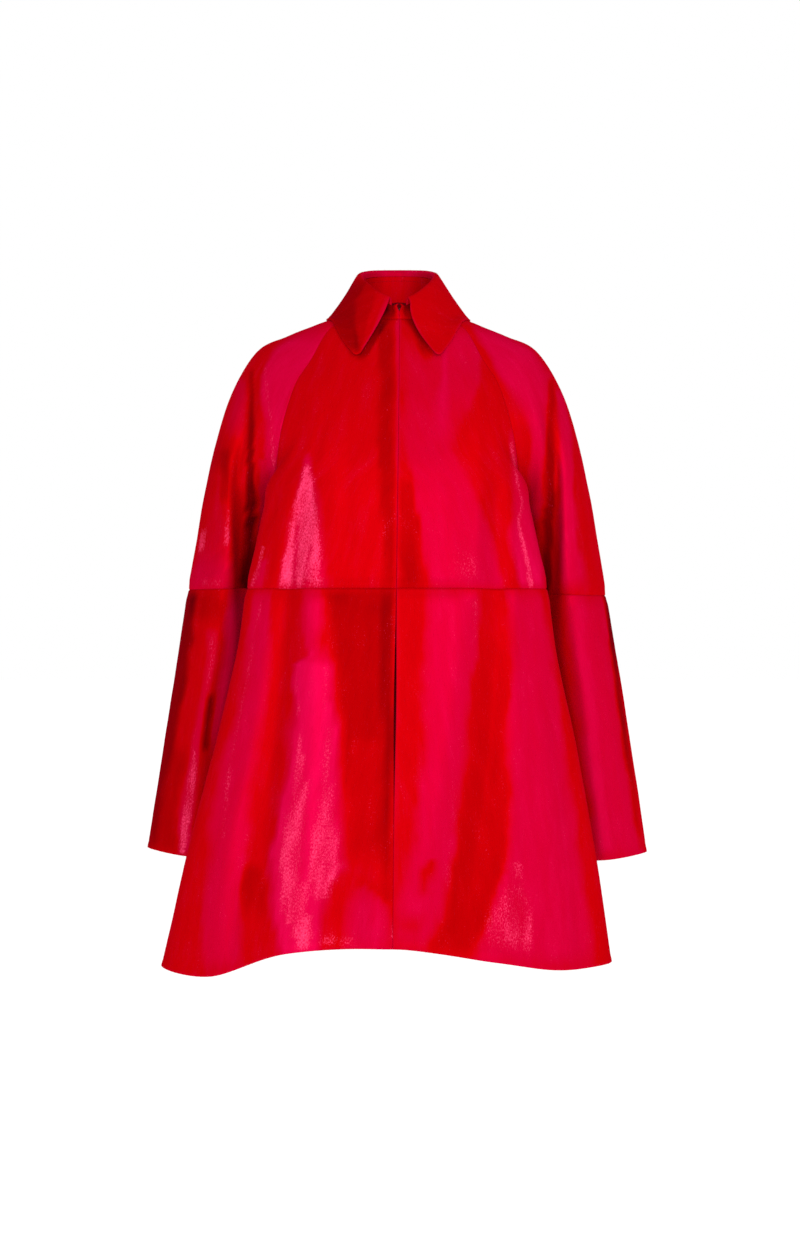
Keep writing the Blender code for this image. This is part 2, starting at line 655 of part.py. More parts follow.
def main():
    clear_scene()
    hide = finish("hair_on_hide", HIDE_RED, 0.45)
    metal = finish("dark_metal", METAL_DARK, 0.35, 1.0)
    body_levels = steps_between(LEVEL_STEPS, 0, HEM_LEVEL)
    sleeve_levels = steps_between(LEVEL_STEPS, 0, CUFF_LEVEL)
    rows = [int(np.argmin(np.abs(body_levels - level))) for level in (SEAM_LEVEL, UNDERARM)]

    grids = body_and_sleeves(body_levels, sleeve_levels)
    stand, fall = collar(grids)
    grids["back", "both"] = joined_across(grids.pop(("back", "left")), grids.pop(("back", "right")))
    skins = [(grid, side != "right") for (_, side), grid in grids.items()]
    ways = outward_ways(skins + [(stand, True)])
    for (name, side), grid, way in zip(grids, grids.values(), ways):
        panels(name, side, grid, way, side != "right", rows, hide)

    gap = SEAM_GAP / 2
    wall("collar_stand", parted(stand, ways[-1], gap, gap, FRONT_GAP / 2, FRONT_GAP / 2), ways[-1], True, hide)
    fall = laid_over(fall, surface_tree(skins), WALL + FALL_CLEARANCE, ROLL_ROWS + 2)
    fall_ways = outward_ways([(fall, True)])[0]
    wall("collar_fall", parted(fall, fall_ways, top=FALL_SEAM_GAP), fall_ways, True, hide)
    hook_and_eye(metal)


main()
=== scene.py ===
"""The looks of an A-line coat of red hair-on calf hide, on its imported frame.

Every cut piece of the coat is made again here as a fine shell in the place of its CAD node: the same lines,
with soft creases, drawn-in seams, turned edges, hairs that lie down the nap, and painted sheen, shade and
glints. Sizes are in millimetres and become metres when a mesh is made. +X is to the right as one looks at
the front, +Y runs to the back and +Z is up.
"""

import math

import bpy
import numpy as np
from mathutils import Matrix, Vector, noise
from mathutils.bvhtree import BVHTree


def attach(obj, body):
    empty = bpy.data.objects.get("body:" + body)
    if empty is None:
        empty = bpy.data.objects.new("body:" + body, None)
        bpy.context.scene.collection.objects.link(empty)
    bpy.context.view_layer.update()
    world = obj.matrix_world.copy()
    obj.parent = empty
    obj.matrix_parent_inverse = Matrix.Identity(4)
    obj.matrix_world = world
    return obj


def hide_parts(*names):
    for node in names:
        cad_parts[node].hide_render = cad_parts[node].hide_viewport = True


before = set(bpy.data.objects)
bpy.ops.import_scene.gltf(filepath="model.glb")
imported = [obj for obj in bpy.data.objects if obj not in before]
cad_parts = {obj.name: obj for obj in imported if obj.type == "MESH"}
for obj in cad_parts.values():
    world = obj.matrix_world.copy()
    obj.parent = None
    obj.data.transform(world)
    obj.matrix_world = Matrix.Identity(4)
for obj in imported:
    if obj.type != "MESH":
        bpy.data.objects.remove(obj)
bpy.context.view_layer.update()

MM = 0.001
SIDES = ("left", "right")

# ------------------------------------------------------------- sizes shared with the CAD source

WALL = 2.2              # thickness of the hide
SEAM_GAP = -0.04        # between two pieces at a seam, which press together
FRONT_GAP = -0.08       # between the two front edges, which press together
FRONT_GAPE = 3.0        # how much further they stand apart where they gape
FRONT_GAPE_Z = -545.0
FRONT_GAPE_SPREAD = 95.0

# The ring of the neck seam, which is lower at the front than at the back by its drop
NECK_HALF_WIDTH = 64.0
NECK_HALF_DEPTH = 65.5
NECK_CENTRE_Y = 3.5
NECK_DROP = 38.0
NECK_TILT_SHAPE = 0.7

ROLL_RADIUS = 4.8       # of the round fold along the collar's top
ROLL_TURN = 150.0       # and how far round it the fall goes, in degrees
FALL_SEAM_DROP = 5.0    # how far under the roll the fall is joined to the stand
FALL_SEAM_GAP = 0.3
FALL_START_ANGLE = 12.0     # where the fall starts round the neck, from the centre front
FALL_LEAVE = 0.7        # how far the fall goes on outward as it leaves the roll
FALL_ARRIVE = 1.05      # and how straight it comes to its outer edge

# How many steps each stretch between two levels, and between two lines, is cut into
LEVEL_STEPS = (12, 12, 12, 16, 12, 8, 12, 14, 22, 30, 32, 32)
FRONT_STEPS = 14
BACK_STEPS = 18
SLEEVE_STEPS = 16
STAND_ROWS = 12
FALL_SEAM_ROWS = 3      # of the fall, from its seam to the roll
ROLL_ROWS = 12
FALL_ROWS = 24
FALL_START = 9          # the fall's first point round the neck

# The levels of the underarm, the cross seam, the cuff and the hem
UNDERARM = 6
SEAM_LEVEL = 8
CUFF_LEVEL = 11
HEM_LEVEL = 12

# Where each line of the panels starts on the neck seam, in degrees round it from the centre front
NECK_ANGLES = {
    "centre_front": 0, "front_ridge": 20, "front_outer": 34, "front_lobe": 47, "front_raglan": 60,
    "sleeve_front": 76, "overarm": 92, "sleeve_back": 107, "back_raglan": 123,
    "back_lobe": 141, "back_ridge": 160, "centre_back": 180,
}

# The body, one half: a row for each level from under the collar down, and a column for each line.
# Each cell is x, y, z. The outer edge is the raglan seam down to the underarm, then the side seam.
FRONT_LINES = ("centre_front", "front_ridge", "front_outer", "front_lobe")
FRONT = (
    ((0, -81, -75), (36, -77, -70), (52, -73, -65), (66, -67, -60)),
    ((0, -101, -120), (48, -97, -113), (69, -93, -108), (90, -85, -102)),
    ((0, -118, -165), (58, -114, -156), (83, -109, -150), (108, -100, -143)),
    ((0, -133, -225), (72, -129, -216), (102, -124, -211), (128, -111, -206)),
    ((0, -139, -266), (82, -135, -260), (133, -118, -257), (168, -82, -254)),
    ((0, -142, -296), (88, -138, -293), (143, -119, -291), (176, -76, -290)),
    ((0, -147, -342), (96, -143, -342), (154, -121, -342), (187, -78, -342)),
    ((0, -152, -396), (106, -147, -396), (165, -122, -396), (199, -82, -396)),
    ((0, -160, -480), (110, -156, -480), (174, -129, -481), (210, -87, -481)),
    ((0, -172, -598), (118, -169, -600), (192, -142, -603), (237, -96, -603)),
    ((0, -185, -727), (128, -182, -734), (216, -155, -745), (267, -105, -742)),
    ((0, -196, -856), (134, -192, -864), (226, -167, -896), (294, -112, -889.5)),
)
BACK_LINES = ("back_lobe", "back_ridge", "centre_back")
BACK = (
    ((66, 86, -38), (34, 97, -37), (0, 100, -36)),
    ((88, 108, -86), (46, 120, -86), (0, 122, -87)),
    ((105, 121, -134), (56, 132, -138), (0, 134, -140)),
    ((126, 129, -204), (66, 143, -212), (0, 146, -215)),
    ((166, 100, -257), (76, 147, -262), (0, 150, -264)),
    ((173, 93, -290), (80, 149, -294), (0, 152, -295)),
    ((183, 96, -342), (87, 153, -342), (0, 156, -342)),
    ((194, 102, -396), (94, 158, -396), (0, 161, -396)),
    ((205, 108, -480), (103, 166, -480), (0, 170, -480)),
    ((225, 120, -601), (116, 178, -600), (0, 183, -599)),
    ((247, 134, -740), (130, 190, -735), (0, 196, -732)),
    ((288, 140, -886), (142, 199, -874), (0, 206, -868)),
)

# Where the sleeves join the body, from under the collar to the underarm, and the sleeve's own lines.
RAGLAN = (
    # front raglan      sleeve front       overarm          sleeve back       back raglan
    ((90, -51, -48), (102, -27, -40), (107, 3, -39), (103, 38, -38), (90, 70, -40)),
    ((115, -67, -92), (139, -36, -65), (148, 5, -54), (141, 54, -64), (117, 92, -84)),
    ((137, -78, -130), (172, -44, -93), (189, 8, -74), (174, 66, -94), (138, 105, -129)),
    ((155.5, -86, -197), (201, -58, -158), (223, 11, -129), (203, 80, -158), (155, 108, -195)),
    ((162, -42, -254), (219, -60, -226), (246, 13, -200), (220, 86, -226), (161, 60, -254)),
    ((151, 0, -281), (222, -58, -281), (263, 15, -277), (223, 86, -281), (151, 0, -281)),
)
RAGLAN_LINES = ("front_raglan", "sleeve_front", "overarm", "sleeve_back", "back_raglan")

# Below the underarm: the side seam of the body, down to the hem
SIDE_SEAM = (
    (148, 2, -342), (154, 4, -396), (164, 8, -480), (176, 12, -601), (200, 16, -738), (252, 20, -884),
)

# Below the underarm: the sleeve's tube, down to the cuff
TUBE = (
    # inner line         sleeve front       overarm           sleeve back
    ((172, 8, -342), (226, -57, -342), (274, 16, -342), (227, 84, -342)),
    ((177, 12, -396), (232, -56, -396), (284, 17, -396), (233, 82, -396)),
    ((186, 15, -480), (243, -51, -480), (296.5, 19, -480), (243, 82, -480)),
    ((199, 19, -602), (260, -46, -602), (316, 22, -600), (260, 84, -602)),
    ((216, 22, -755), (277, -42, -753), (338.5, 24, -746), (277, 86, -754)),
)
TUBE_LINES = ("inner", "sleeve_front", "overarm", "sleeve_back")

UNDERARM_ROUND = 6.0    # how far the sleeve swings out just below the underarm

# The edges of each surface that pass the underarm, as its first or last column
UNDERARM_EDGES = {"front": (-1,), "back": (0, -1), "sleeve_front": (0,), "sleeve_back": (-1,)}

# How sharply the cloth turns at the raglan seam and underarm on each level: 0 flows on, 1 folds
CREASE = (0, 0, 0, 0, 0, 0.9, 1, 0.4, 0, 0, 0, 0, 0)

# The side that is seen on the right has its cross seam on the sleeve lower, and its overarm seam forward
RIGHT_CROSS_SEAM_DROP = 8.0
RIGHT_CUFF_DROP = 5.0
RIGHT_OVERARM_FORWARD = (0, 0, 0, 0, 0, 0, 0, 0, 0, 6, 9, 10)
RIGHT_HEM_RISE = {"centre_front": -3.0, "front_ridge": -11.0, "front_outer": 8.0, "front_lobe": 5.5}

# The coat leans a little: how far its middle and its sides stand to the right, by height
LEAN_Z = (-888, -740, -600, -396, -120, 50)
LEAN_MIDDLE = (-5.5, -4.5, -3.0, -0.6, 2.8, 3.5)
LEAN_SIDES = (-13.5, -7.0, -1.3, 0, 0, 0)
LEAN_MIDDLE_REACH = 75.0
LEAN_SIDE_REACH = 200.0

# Large soft folds of each surface and side, a row for each: first and last level, place across the surface
# at each end (0 to 1), half width at each end, and how far it stands out (+) or in (-) at each end
FOLDS = {
    ("front", "left"): (
        (4.2, 12.6, 0.41, 0.37, 0.11, 0.12, -4.0, -13.0),
        (8.8, 12.6, 0.10, 0.13, 0.10, 0.11, -1.0, -8.0),
    ),
    ("front", "right"): (
        (4.0, 12.6, 0.50, 0.14, 0.11, 0.12, -4.0, -13.0),
        (9.0, 12.6, 0.60, 0.62, 0.10, 0.11, -1.0, -8.0),
    ),
    ("back", "left"): (
        (5.0, 12.6, 0.55, 0.60, 0.10, 0.11, -4.0, -14.0),
        (6.5, 12.6, 0.84, 0.80, 0.09, 0.10, -2.0, -9.0),
    ),
    ("back", "right"): (
        (5.0, 12.6, 0.52, 0.56, 0.10, 0.12, -4.0, -15.0),
        (6.0, 12.6, 0.86, 0.84, 0.09, 0.10, -2.0, -9.0),
    ),
    ("sleeve_front", "left"): (
        (3.1, 9.5, 0.52, 0.16, 0.16, 0.16, -9.0, -13.0),
    ),
    ("sleeve_front", "right"): (
        (3.2, 9.3, 0.50, 0.18, 0.15, 0.16, -8.0, -12.0),
    ),
    ("sleeve_back", "left"): (
        (3.4, 9.5, 0.55, 0.82, 0.16, 0.16, -7.0, -11.0),
    ),
    ("sleeve_back", "right"): (
        (3.4, 9.5, 0.55, 0.82, 0.16, 0.16, -7.0, -11.0),
    ),
}

# The collar, one half: a row for each place. Columns are the angle round the neck from the centre
# front, the fold along the top, and the outer edge of the fall.
COLLAR = (
    (0, (4.5, -59, -17), (53, -93, -94)),
    (14, (12, -56, -9), (53, -93, -94)),
    (32, (25, -49, -1), (69, -76, -73)),
    (52, (38, -34, 10), (81, -46, -55)),
    (74, (49, -8, 23), (99, 0, -34)),
    (100, (51, 24, 34), (93, 45, -30)),
    (128, (41, 52, 41), (71, 81, -29)),
    (154, (24, 68, 44), (38, 100, -30)),
    (180, (0, 74, 45), (0, 106, -31)),
)

# The hook and the eye of bent wire between the ends of the stand
HOOK_PLACE = (3.5, -55.0, -25.0)
WIRE = 0.9
EYE_WIDTH = 3.2
EYE_LENGTH = 5.0
EYE_STEPS = 6           # straight steps round its half circle
HOOK_LENGTH = 7.0
HOOK_SHANK = 0.6        # its straight end goes from that length to this share of it
HOOK_REACH = 1.4
HOOK_BEND = 0.8         # how far its bend goes along, as a share of its reach
HOOK_TIP = 1.2
HOOK_STEPS = 5

# The shared ways out at the seams: how much longer than the wall is thick one may be, how nearly it has to
# face each wall there, and how it is brought to that
MITRE_LIMIT = 1.5
NEARLY_FLAT = 0.9
BALANCE_STEPS = 60
BALANCE_STEP = 0.06

FOLD_FADE = 0.08        # share of a surface's width beside its seams over which large folds fade
FOLD_END = 0.25         # share of a fold's length over which it rises at each end

# ------------------------------------------------------------- finer shapes of the looks

# Extra rows and columns this far from each edge, to round it. Each may take up this share more of the way
# to the next one.
EDGE_STEPS = (0.4, 1.0, 2.0)
EDGE_SHARE = 0.25
SEAM_DIP = 1.3          # how deep an edge dips into its seam
SEAM_DIP_REACH = 2.8
TURNED_ROUND = 1.0      # radius of a turned edge
TURNED_RISE = 0.5       # a turned edge is this much thicker over its turning
TURNING = 9.0           # width of the turning
TURNED_STEP = 0.35      # depth of the step where the turning ends inside
TURNING_FADE = 3.0      # how far the rise outside takes to fade
STEP_FADE = 1.5         # and the step inside
EDGE_HIGHLIGHT = 0.25       # painted highlight: how much pinker the colour is where it rounds a turned edge
EDGE_HIGHLIGHT_REACH = 3.5
CROSS_SEAM_DRAW = 1.4   # how far the cross seam draws the cloth in
CROSS_SEAM_REACH = 16.0
FRONT_DRAW = 40.0       # how far from a front edge the cloth moves with it
RAGLAN_DRAW = 0.9
RAGLAN_REACH = 12.0
RAGLAN_CALM = 22.0      # creases fade out within this distance of it
RAGLAN_FADE = 0.5       # in levels, how near to the underarm these two change
NECK_CALM = 0.7         # in levels, how far below the neck seam folds and creases reach their full depth
WAVER = ((90.0, 0.7), (34.0, 0.22), (14.0, 0.06))   # length and height of the hide's small unevenness

PATH_STEPS = 6          # how finely a crease's or a stroke's path is cut between two knots
CREASE_END = 0.3        # share of a crease's length over which it rises at each end
CREASE_START = 0.12     # how far on in that rise it begins
FACING = 0.35           # how far a surface has to face the viewer to take all of a crease
PAINT_FACING = 0.18       # or of a stroke of painted sheen and painted shade
SHEEN_SHADE_SOFT = 15.0         # how softly a stroke of painted sheen and painted shade ends
GLINT_SOFT = 8.0
STROKE_END = 2.5        # a stroke's ends are this many times softer than its sides
STROKE_EDGE = 0.5       # how far on in its fade it is at its drawn edge
WIDE_STROKE = 30.0      # narrower strokes than this are less soft and wander less
LEAST_WIDE = 0.35       # but never by more than to this share
STROKE_WANDER = ((120.0, 9.0), (40.0, 5.0), (14.0, 2.0))    # length and height of their wandering
SOFT_WANDER = (70.0, 1.3)   # and of the change in their softness
SOFT_RANGE = (0.5, 2)
PATTERN_SHIFT = 1.7     # in metres, so that no two pieces have the same grain
STAND_SHIFT = 5.1
FALL_SHIFT = 6.3

# The parts that the tables of painted sheen, painted shade and painted glints speak of
PARTS = {
    ("front", "upper"): "bodice", ("front", "lower"): "skirt",
    ("back", "upper"): "bodice", ("back", "lower"): "skirt",
    ("sleeve", "upper"): "upper_sleeve", ("sleeve", "lower"): "lower_sleeve",
}

# The collar's softer shapes
FALL_BOW = (1.0, 8.0)   # how far the fall's left and right front edge bow towards the middle
FALL_BOW_REACH = 16     # over so many of its points
FALL_SHORTER = 6.0      # how much shorter the left half is over the shoulder
SHOULDER_AT = 0.27      # where that is along the fall, and how far it reaches
SHOULDER_REACH = 0.2
TIP_ROUND = 0.11        # share of its length that a tip is rounded off by
TIP_REACH = 6
FALL_RISE = 5.0         # how far its front edges stand off the panels more than the rest
FALL_REST = 0.5         # and how far the rest of it does
FALL_SETTLES = 0.9      # how much of the way its lower edge is drawn down to that
CENTRE_SMOOTHED = 7     # points beside the centre back that are smoothed, and how often
CENTRE_TIMES = 24
CENTRE_CALM = 3         # rows beside a kept one that are smoothed less
HANGS_FREE = 2          # rows of the fall past the roll that hang free of the panels
FALL_RELAXED = 6        # how often the rest is smoothed
NECK_HOLE = 7.5         # the gap by the hook, between the ends of the stand
NECK_HOLE_ROWS = (0.0, 0.12, 0.5)   # how far down the stand it starts, is widest and ends
NECK_HOLE_SHARES = (0.4, 1, 0)      # and how wide it is there
STAND_END_REACH = 14    # points of the stand that its ends take along
# Puckers of the stand's ends: points from the end, half width in points, and height
PUCKERS = ((3, 2.5, 1.3), (7, 2.0, -0.9), (11, 3.0, 1.0))
PUCKER_ROW = 0.4        # how far down the stand they are deepest
PUCKER_REACH = 0.5

# Hairs and thread
HAIRS = 50000.0         # to a square metre
GLINT_HAIRS = 250000.0    # more where glints are painted in full
HAIR_LENGTH = 5.0
HAIR_WIDTH = 0.22
HAIR_LIFT = 3.0         # how far a hair's tip swings off the coat, in degrees
HAIR_SWING = 10.0       # and to each side
HAIR_LENGTHS = (0.5, 1.2)   # shares of that length, the shortest and the longest
HAIR_FLAT = 0.6         # how thick it is, as a share of its width
THREAD_WIDTH = 0.5
STITCH_LENGTH = 2.6
STITCH_PITCH = 3.4
UNDERSTITCH_ROW = 2     # row of the stand that they run along, from its top
UNDERSTITCH_END = 24    # points of the stand at each end that they leave out
HOOK_STITCH = 3         # length of the stitches over the hook's shank, in widths of its wire
EYE_STITCH = 2.4

# Colours along a ramp, from the darkest painted shade to the pinkest painted sheen, and of the other
# finishes
SHADE_TO_SHEEN_COLOURS = (
    (0.0, (0.085, 0.0, 0.0010)),
    (0.333, (0.250, 0.0, 0.0008)),
    (0.533, (0.380, 0.0, 0.0010)),
    (0.667, (0.470, 0.0, 0.0020)),
    (0.867, (0.510, 0.0, 0.0260)),
    (1.0, (0.600, 0.001, 0.0500)),
)
# the pale pink of painted glints, specks of painted highlight
GLINT_COLOUR = (0.92, 0.05, 0.16)
LINING_COLOURS = ((0.0, (0.16, 0.0, 0.004)), (1.0, (0.30, 0.0, 0.010)))
METAL_COLOURS = ((0.3, (0.006, 0.005, 0.005)), (0.8, (0.03, 0.025, 0.025)))
THREAD_COLOURS = ((0.0, (0.22, 0.0, 0.004)), (1.0, (0.42, 0.0, 0.012)))
WHITE = (1.0, 1.0, 1.0, 1.0)

# Patterns of the finishes: cells to a metre along each axis, how many finer ones are laid over them, and how
# much these count. On the cloth the first axis goes across the nap and the second along it.
PATTERNS = {
    "strands": ((420, 34, 1), 4.0, 0.6),
    "hairs": ((1900, 260, 1), 3.0, 0.6),
    "clumps": ((60, 15, 1), 3.0, 0.55),
    "grains": ((560, 330, 1), 4.0, 0.7),
    "plies": ((2600, 2600, 1400), 2.0, 0.55),
    "threads": ((1900, 500, 1), 2.0, 0.55),
    "filling": ((500, 1900, 1), 2.0, 0.55),
    "waves": ((22, 12, 1), 3.0, 0.55),
    "rubbed": ((900, 900, 900), 4.0, 0.55),
}
NAP_GRAIN = (("strands", 0.07), ("hairs", 0.035), ("clumps", 0.17))     # how much each one changes the painted sheen and shade, at random
GLINT_GRAIN = (("grains", 2.6), ("clumps", 1.2))
GLINT_LIT = (0.44, 1.12)    # between these the painted glints go from none to full
HAIR_BUMPS = (("strands", 0.0003, 0.2), ("hairs", 0.00015, 0.3), ("grains", 0.0002, 0.2))
HAIR_GLOSS = {
    "Metallic": 0.12, "Specular IOR Level": 0.0, "Specular Tint": (1.0, 0.04, 0.2, 1.0),
    "Sheen Weight": 0.06, "Sheen Roughness": 0.4, "Sheen Tint": (1.0, 0.02, 0.16, 1.0),
}

# Studio, in metres and watts
FLOOR_REACH = 40.0
FLOOR_LEVEL = -1.42
FLOOR_GLOW = 0.45
FLOOR_COLOUR = (0.9, 0.9, 0.9, 1.0)
FLOOR_ROUGHNESS = 0.9
AIR_LIGHT = 0.68
LIGHTS_AIM = (0.0, 0.0, -0.45)
LIGHTS = (
    ("front_softbox", (-0.2, -4.0, 0.4), (1.4, 1.4), 54.0),
    ("key_softbox", (2.0, -3.0, 1.2), (1.4, 1.4), 36.0),
)

# The camera of the picture, 800 by 1244 pixels
EYE_HEIGHT = -440.0
CAMERA_X = 4.05
CAMERA_DISTANCE = 3500.0
CAMERA_LENS = 75.03
CAMERA_SENSOR = 36.0
PICTURE_MIDDLE = (400, 622)
PIXEL = 1.35            # what a pixel measures on the plane of the neck

# Soft creases seen from the front, for each part and side: places (x, y) along the crease in pixels of the
# picture, then half width at its start and end and height there (+ stands out, - goes in), in millimetres
PICTURE_CREASES = {
    ("body", "left"): (
        (((292, 520), (284, 600), (276, 700), (267, 800), (261, 890), (258, 955)), 10, 13, -0.6, -2.6),
        (((312, 470), (311, 586), (313, 700), (312, 830), (300, 945)), 20, 34, 1.0, 3.0),
        (((264, 600), (251, 690), (233, 800), (217, 900), (211, 962)), 16, 26, 0.6, 2.6),
        (((330, 640), (337, 760), (335, 860), (326, 945)), 9, 15, -0.5, -2.6),
        (((330, 404), (318, 440), (312, 470)), 8, 14, -0.5, -1.2),
        (((352, 420), (346, 500), (350, 580)), 14, 18, -0.8, -1.4),
        (((288, 470), (276, 500), (264, 540)), 7, 9, -0.8, -1.6),
        (((300, 436), (286, 470), (275, 505)), 6, 9, 0.5, 1.2),
        (((296, 560), (306, 574), (322, 582)), 5, 7, 0.5, 0.9),
        (((378, 860), (372, 905), (370, 947)), 10, 16, 0.8, 2.0),
        (((240, 880), (232, 925), (230, 968)), 8, 13, -0.8, -2.0),
    ),
    ("body", "right"): (
        (((488, 376), (489, 446), (500, 493), (511, 586)), 14, 18, -0.8, -2.0),
        (((499, 597), (497, 656), (492, 725), (484, 795), (474, 865), (456, 940)), 12, 16, -1.0, -2.6),
        (((432, 380), (446, 493), (460, 586), (452, 680), (442, 760), (428, 850),
          (417, 938)), 22, 30, 0.8, 2.4),
        (((526, 604), (536, 660), (545, 740), (551, 830), (552, 930)), 16, 26, 0.8, 2.4),
        (((513, 700), (520, 790), (524, 880), (520, 955)), 9, 14, -0.5, -2.0),
        (((500, 840), (506, 900), (504, 960)), 10, 16, 0.6, 1.8),
        (((522, 470), (530, 520), (535, 560)), 6, 8, 0.6, 1.2),
        (((512, 470), (519, 520), (523, 566)), 6, 8, -0.6, -1.3),
        (((470, 350), (479, 384), (484, 420)), 9, 12, 0.5, 1.0),
        (((575, 880), (580, 920), (582, 958)), 9, 14, -0.6, -1.8),
    ),
    ("sleeve", "left"): (
        (((256, 372), (252, 440), (250, 520), (251, 586)), 9, 12, -1.0, -2.4),
        (((274, 366), (271, 420), (267, 462)), 5, 6, 0.5, 1.1),
        (((240, 398), (231, 470), (224, 525), (216, 584)), 8, 10, 0.7, 1.6),
        (((236, 520), (226, 545), (210, 560)), 5, 7, -0.6, -1.3),
        (((240, 552), (226, 570), (206, 580)), 5, 7, 0.6, 1.2),
        (((212, 640), (203, 707), (190, 790), (181, 846)), 8, 12, 0.8, 2.0),
        (((225, 640), (214, 730), (203, 830)), 8, 11, -0.8, -2.0),
        (((190, 680), (178, 760), (166, 840)), 7, 10, -0.5, -1.2),
        (((240, 606), (227, 680), (214, 745)), 9, 10, 1.4, 1.4),
    ),
    ("sleeve", "right"): (
        (((553, 372), (558, 440), (560, 520), (556, 586)), 9, 12, -0.8, -2.0),
        (((541, 380), (540, 450), (537, 512)), 7, 8, 0.6, 1.3),
        (((571, 440), (575, 520), (578, 584)), 7, 9, 0.6, 1.5),
        (((560, 540), (572, 556), (588, 566)), 5, 7, -0.6, -1.2),
        (((574, 620), (582, 700), (592, 780), (604, 850)), 9, 13, 0.7, 1.8),
        (((560, 600), (567, 680), (578, 760), (590, 840)), 12, 14, 1.6, 3.0),
        (((598, 660), (606, 750), (620, 850)), 7, 10, -0.5, -1.2),
    ),
}
